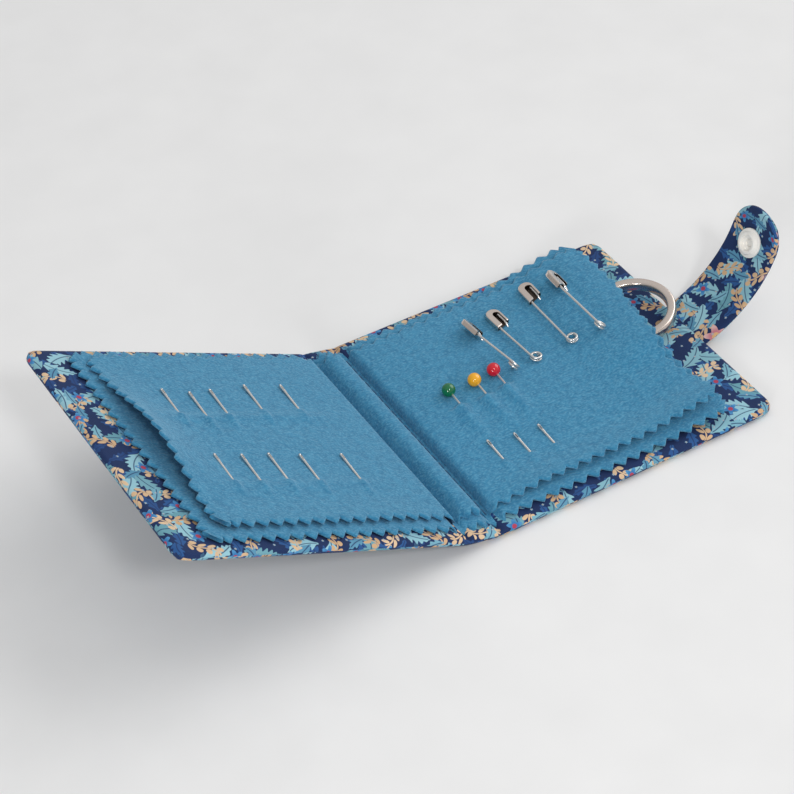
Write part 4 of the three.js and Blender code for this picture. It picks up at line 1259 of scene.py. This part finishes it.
PAGE_TOP = UPPER_BASE + FELT
for half, side, needles, length in (("front", -1, FRONT_NEEDLES, LONG_NEEDLE),
                                    ("back", 1, BACK_NEEDLES, SHORT_NEEDLE)):
    shape, faces = needle_shape(length)
    slope = math.asin((NEEDLE_EYE_HEIGHT + NEEDLE_TIP_DEPTH) / length)
    for i, (from_groove, y) in enumerate(needles, 1):
        start = (from_groove, y, PAGE_TOP + NEEDLE_EYE_HEIGHT)
        laid = lay_along(shape, side, HALVES[half][0], start, slope)
        name = f"{half}_needle_{i:02d}"
        set_on(piece(name + "_polished", laid, faces, steel), name + "_body", name)

# %% [markdown]
# ## Ball-head pins
# A steel shaft with a painted glass ball. The ball is a turned half circle with a small collar
# where the glass drew up the wire.

# %% Ball-head pins
pin_slope = math.asin((PIN_HEAD_HEIGHT + PIN_TIP_DEPTH) / PIN_LENGTH)
half_turn = np.linspace(0.02, math.pi - 0.2, 26)
ball = [(BALL_RADIUS * math.sin(a), -BALL_RADIUS * math.cos(a)) for a in half_turn]
ball += [(0.38, BALL_RADIUS + 0.14), (0.34, BALL_RADIUS + 0.16)]
shaft = [(0.02, BALL_RADIUS * 0.3), (PIN_RADIUS, BALL_RADIUS * 0.3), (PIN_RADIUS, PIN_LENGTH - 5),
         (PIN_RADIUS * 0.55, PIN_LENGTH - 2), (0.02, PIN_LENGTH)]
towards_point = facing((0, 0, 0), (0, -1, 0), (1, 0, 0))
for colour, (from_groove, y) in BALL_PINS.items():
    start = (from_groove, y, PAGE_TOP + PIN_HEAD_HEIGHT)
    for part, profile, sides, finish, slot in (("head", ball, 40, heads[colour], colour + "_head"),
                                               ("shaft", shaft, 16, pin_steel, "steel")):
        points, faces = turned(profile, sides, towards_point)
        laid = lay_along(points, 1, on_back, start, pin_slope)
        node = f"ball_pin_{colour}_{part}"
        made = piece(node + "_turned", laid, faces, finish)
        set_on(made, f"ball_pin_{colour}_body", node)

# %% [markdown]
# ## Safety pins
# One wire runs from the clasp down the back arm, round a coil and a half, and up the pointed arm,
# which goes through the felt and comes out again just below the clasp. The clasp is folded plate:
# a rounded solid from which two booleans cut the hollow and the opening on its face. It is made
# once, in its own plane, and its points are laid on each pin. The hollow has painted shade: a
# dark nickel finish.

# %% Safety pins
WIRE_RADIUS, COIL_RADIUS, COIL_TURNS, COIL_PITCH = 0.42, 1.65, 1.5, 0.98
CLASP_HALF, CLASP_LENGTH, CLASP_SLANT, CLASP_THICKNESS = 5.3 / 2, 9.0, 1.6, 1.9
POINT_DEPTH = 0.62
# Distance from the groove, Y of the coil, length, lean and turn in degrees
SAFETY_PINS = {
    "a": (41.0, 3.3, 28.6, 46, 4), "b": (50.4, 4.4, 28.6, 0, 1.5),
    "c": (64.8, 4.7, 32.7, 0, -2), "d": (74.0, 1.8, 32.7, 46, -2),
}


def pin_wire(length, lean):
    """The wire's middle line, with its coil at the origin, and how and where the clasp lies."""
    lean = math.radians(lean)
    clasp_along = length - COIL_RADIUS - WIRE_RADIUS - CLASP_HALF
    arm = clasp_along + 0.2
    clasped = (CLASP_LENGTH - CLASP_HALF + 1) / arm
    lift = 0.3 + CLASP_HALF * math.sin(lean) + CLASP_THICKNESS / 2 * math.cos(lean)
    drop = COIL_PITCH * COIL_TURNS

    def lay(across, along, out):
        return np.stack([across * math.cos(lean) + out * math.sin(lean), along,
                         lift - across * math.sin(lean) + out * math.cos(lean)], -1)

    s = np.linspace(0, 1, 60, endpoint=False)
    rises = np.clip((s - clasped) / (1 - clasped), 0, 1)
    back_arm = lay(-COIL_RADIUS + 0 * s, arm * (1 - s), drop / 2 * rises)
    s = np.linspace(0, 1, 54, endpoint=False)
    angle = math.pi + COIL_TURNS * 2 * math.pi * s
    coil = lay(COIL_RADIUS * np.cos(angle), COIL_RADIUS * np.sin(angle), drop * (0.5 - s))
    s = np.linspace(0, 1, 60)
    front_arm = lay(COIL_RADIUS + 0 * s, arm * s, drop / 2 * (smooth_step(4 * s) - 1))
    comes_out = arm - (CLASP_LENGTH - CLASP_HALF - CLASP_SLANT) - 2.2
    sunk = smooth_step(s / 0.11) * (1 - smooth_step((s * arm - comes_out) / 3.0))
    front_arm[:, 2] -= (front_arm[:, 2] + POINT_DEPTH) * sunk
    return np.concatenate([back_arm, coil, front_arm]), lay, clasp_along


def wire_tube(line, radius, sides):
    """Rings round a line, carried along it without twisting."""
    along = unit_rows(np.gradient(line, axis=0))
    side = np.cross(along[0], (0.3, 0.2, 1.0))
    angle = full_turn(sides)[:, None]
    rings = []
    for here, t in zip(line, along):
        side = side - t * side.dot(t)
        side /= np.linalg.norm(side)
        rings.append(here + radius * (np.cos(angle) * side + np.sin(angle) * np.cross(t, side)))
    return ring_rows(np.array(rings))


# %% Clasp
CLASP_WALL, CLASP_EASE = 0.3, 0.38
CLASP_HOLLOW = CLASP_THICKNESS / 2 - CLASP_WALL


def rounded_top(half, low_left, low_right, steps=24):
    """An outline with a half-round top at the origin and straight sides down to two heights."""
    arc = [(half * math.cos(a), half * math.sin(a)) for a in np.linspace(0, math.pi, steps)]
    return arc + [(-half, low_left), (half, low_right)]


def outline_solid(name, outline, low, high, ease=0.0):
    shell = bmesh.new()
    face = shell.faces.new([shell.verts.new((x, y, low)) for x, y in outline])
    lifted = bmesh.ops.extrude_face_region(shell, geom=[face])["geom"]
    lifted = [v for v in lifted if isinstance(v, bmesh.types.BMVert)]
    bmesh.ops.translate(shell, verts=lifted, vec=(0, 0, high - low))
    bmesh.ops.recalc_face_normals(shell, faces=shell.faces)
    if ease:
        rims = [e for e in shell.edges if abs(e.verts[0].co.z - e.verts[1].co.z) < 1e-6]
        bmesh.ops.bevel(shell, geom=rims, offset=ease, segments=3, affect="EDGES", profile=0.5)
    mesh = bpy.data.meshes.new(name)
    shell.to_mesh(mesh)
    shell.free()
    return add_object(name, mesh)


def clasp_shape():
    """Points and faces of a clasp in its own plane, in millimetres."""
    thick, mouth = CLASP_THICKNESS / 2, CLASP_HALF - CLASP_LENGTH
    outer = rounded_top(CLASP_HALF, mouth, mouth + CLASP_SLANT)
    body = outline_solid("clasp_body", outer, -thick, thick, CLASP_EASE)
    inner = rounded_top(CLASP_HALF - CLASP_WALL - 0.1, -20, -20)
    inside = outline_solid("clasp_hollow", inner, -CLASP_HOLLOW, CLASP_HOLLOW)
    opening = [(x + 0.62, y - 0.55) for x, y in rounded_top(1.25, -20, -20)]
    face_cut = outline_solid("clasp_opening", opening, 0.1, 3)
    for cutter in (inside, face_cut):
        cut = body.modifiers.new("cut", "BOOLEAN")
        cut.operation, cut.solver, cut.object = "DIFFERENCE", "EXACT", cutter
    bpy.context.view_layer.update()
    shown = body.evaluated_get(bpy.context.evaluated_depsgraph_get())
    mesh = bpy.data.meshes.new_from_object(shown)
    points = np.array([v.co for v in mesh.vertices])
    faces = [tuple(p.vertices) for p in mesh.polygons]
    for made in (body, inside, face_cut):
        bpy.data.objects.remove(made)
    return points, faces


def in_hollow(points, face):
    """True for a face of the clasp's inside: between the plates and away from the outer wall."""
    here = points[list(face)]
    x, y = here[:, :2].mean(0)
    reach = math.hypot(x, max(y, 0))
    return np.abs(here[:, 2]).max() < CLASP_HOLLOW + 0.01 and reach < CLASP_HALF - 0.12


clasp_points, clasp_faces = clasp_shape()
clasp_inside = [in_hollow(clasp_points, f) for f in clasp_faces]
print("clasp", len(clasp_faces), "faces,", sum(clasp_inside), "inside")

# %% Set the safety pins on the page
for letter, (from_groove, y, length, lean, turn) in SAFETY_PINS.items():
    line, lay, clasp_along = pin_wire(length, lean)
    rise = ramp_lie(from_groove + 0.5, 0.0) - ramp_lie(from_groove - 0.5, 0.0)
    slope = math.atan(float(rise))
    turned_frame = Matrix.Rotation(-slope, 3, "Y") @ Matrix.Rotation(math.radians(turn), 3, "Z")
    base = PAGE_TOP + float(ramp_lie(from_groove, 0.0))

    def on_page(points):
        px, py, pz = (points @ np.array(turned_frame).T).T
        return on_back(px + from_groove, py + y + COIL_RADIUS + WIRE_RADIUS, pz + base)

    points, faces = wire_tube(line, WIRE_RADIUS, 12)
    wire = piece(f"safety_pin_{letter}_wire_drawn", on_page(points), faces, steel)
    set_on(wire, "back_upper_page", f"safety_pin_{letter}_wire")
    node = f"safety_pin_{letter}_cap"
    laid = on_page(lay(clasp_points[:, 0], clasp_points[:, 1] + clasp_along, clasp_points[:, 2]))
    clasp = piece(node + "_pressed", laid, clasp_faces, nickel, smooth=False)
    # The faces inside the hollow take the dark nickel as painted shade.
    clasp.data.materials.append(painted_shade_nickel.material)
    if len(clasp.data.polygons) == len(clasp_faces):
        clasp.data.polygons.foreach_set("material_index", [int(v) for v in clasp_inside])
    set_on(clasp, "back_upper_page", node)
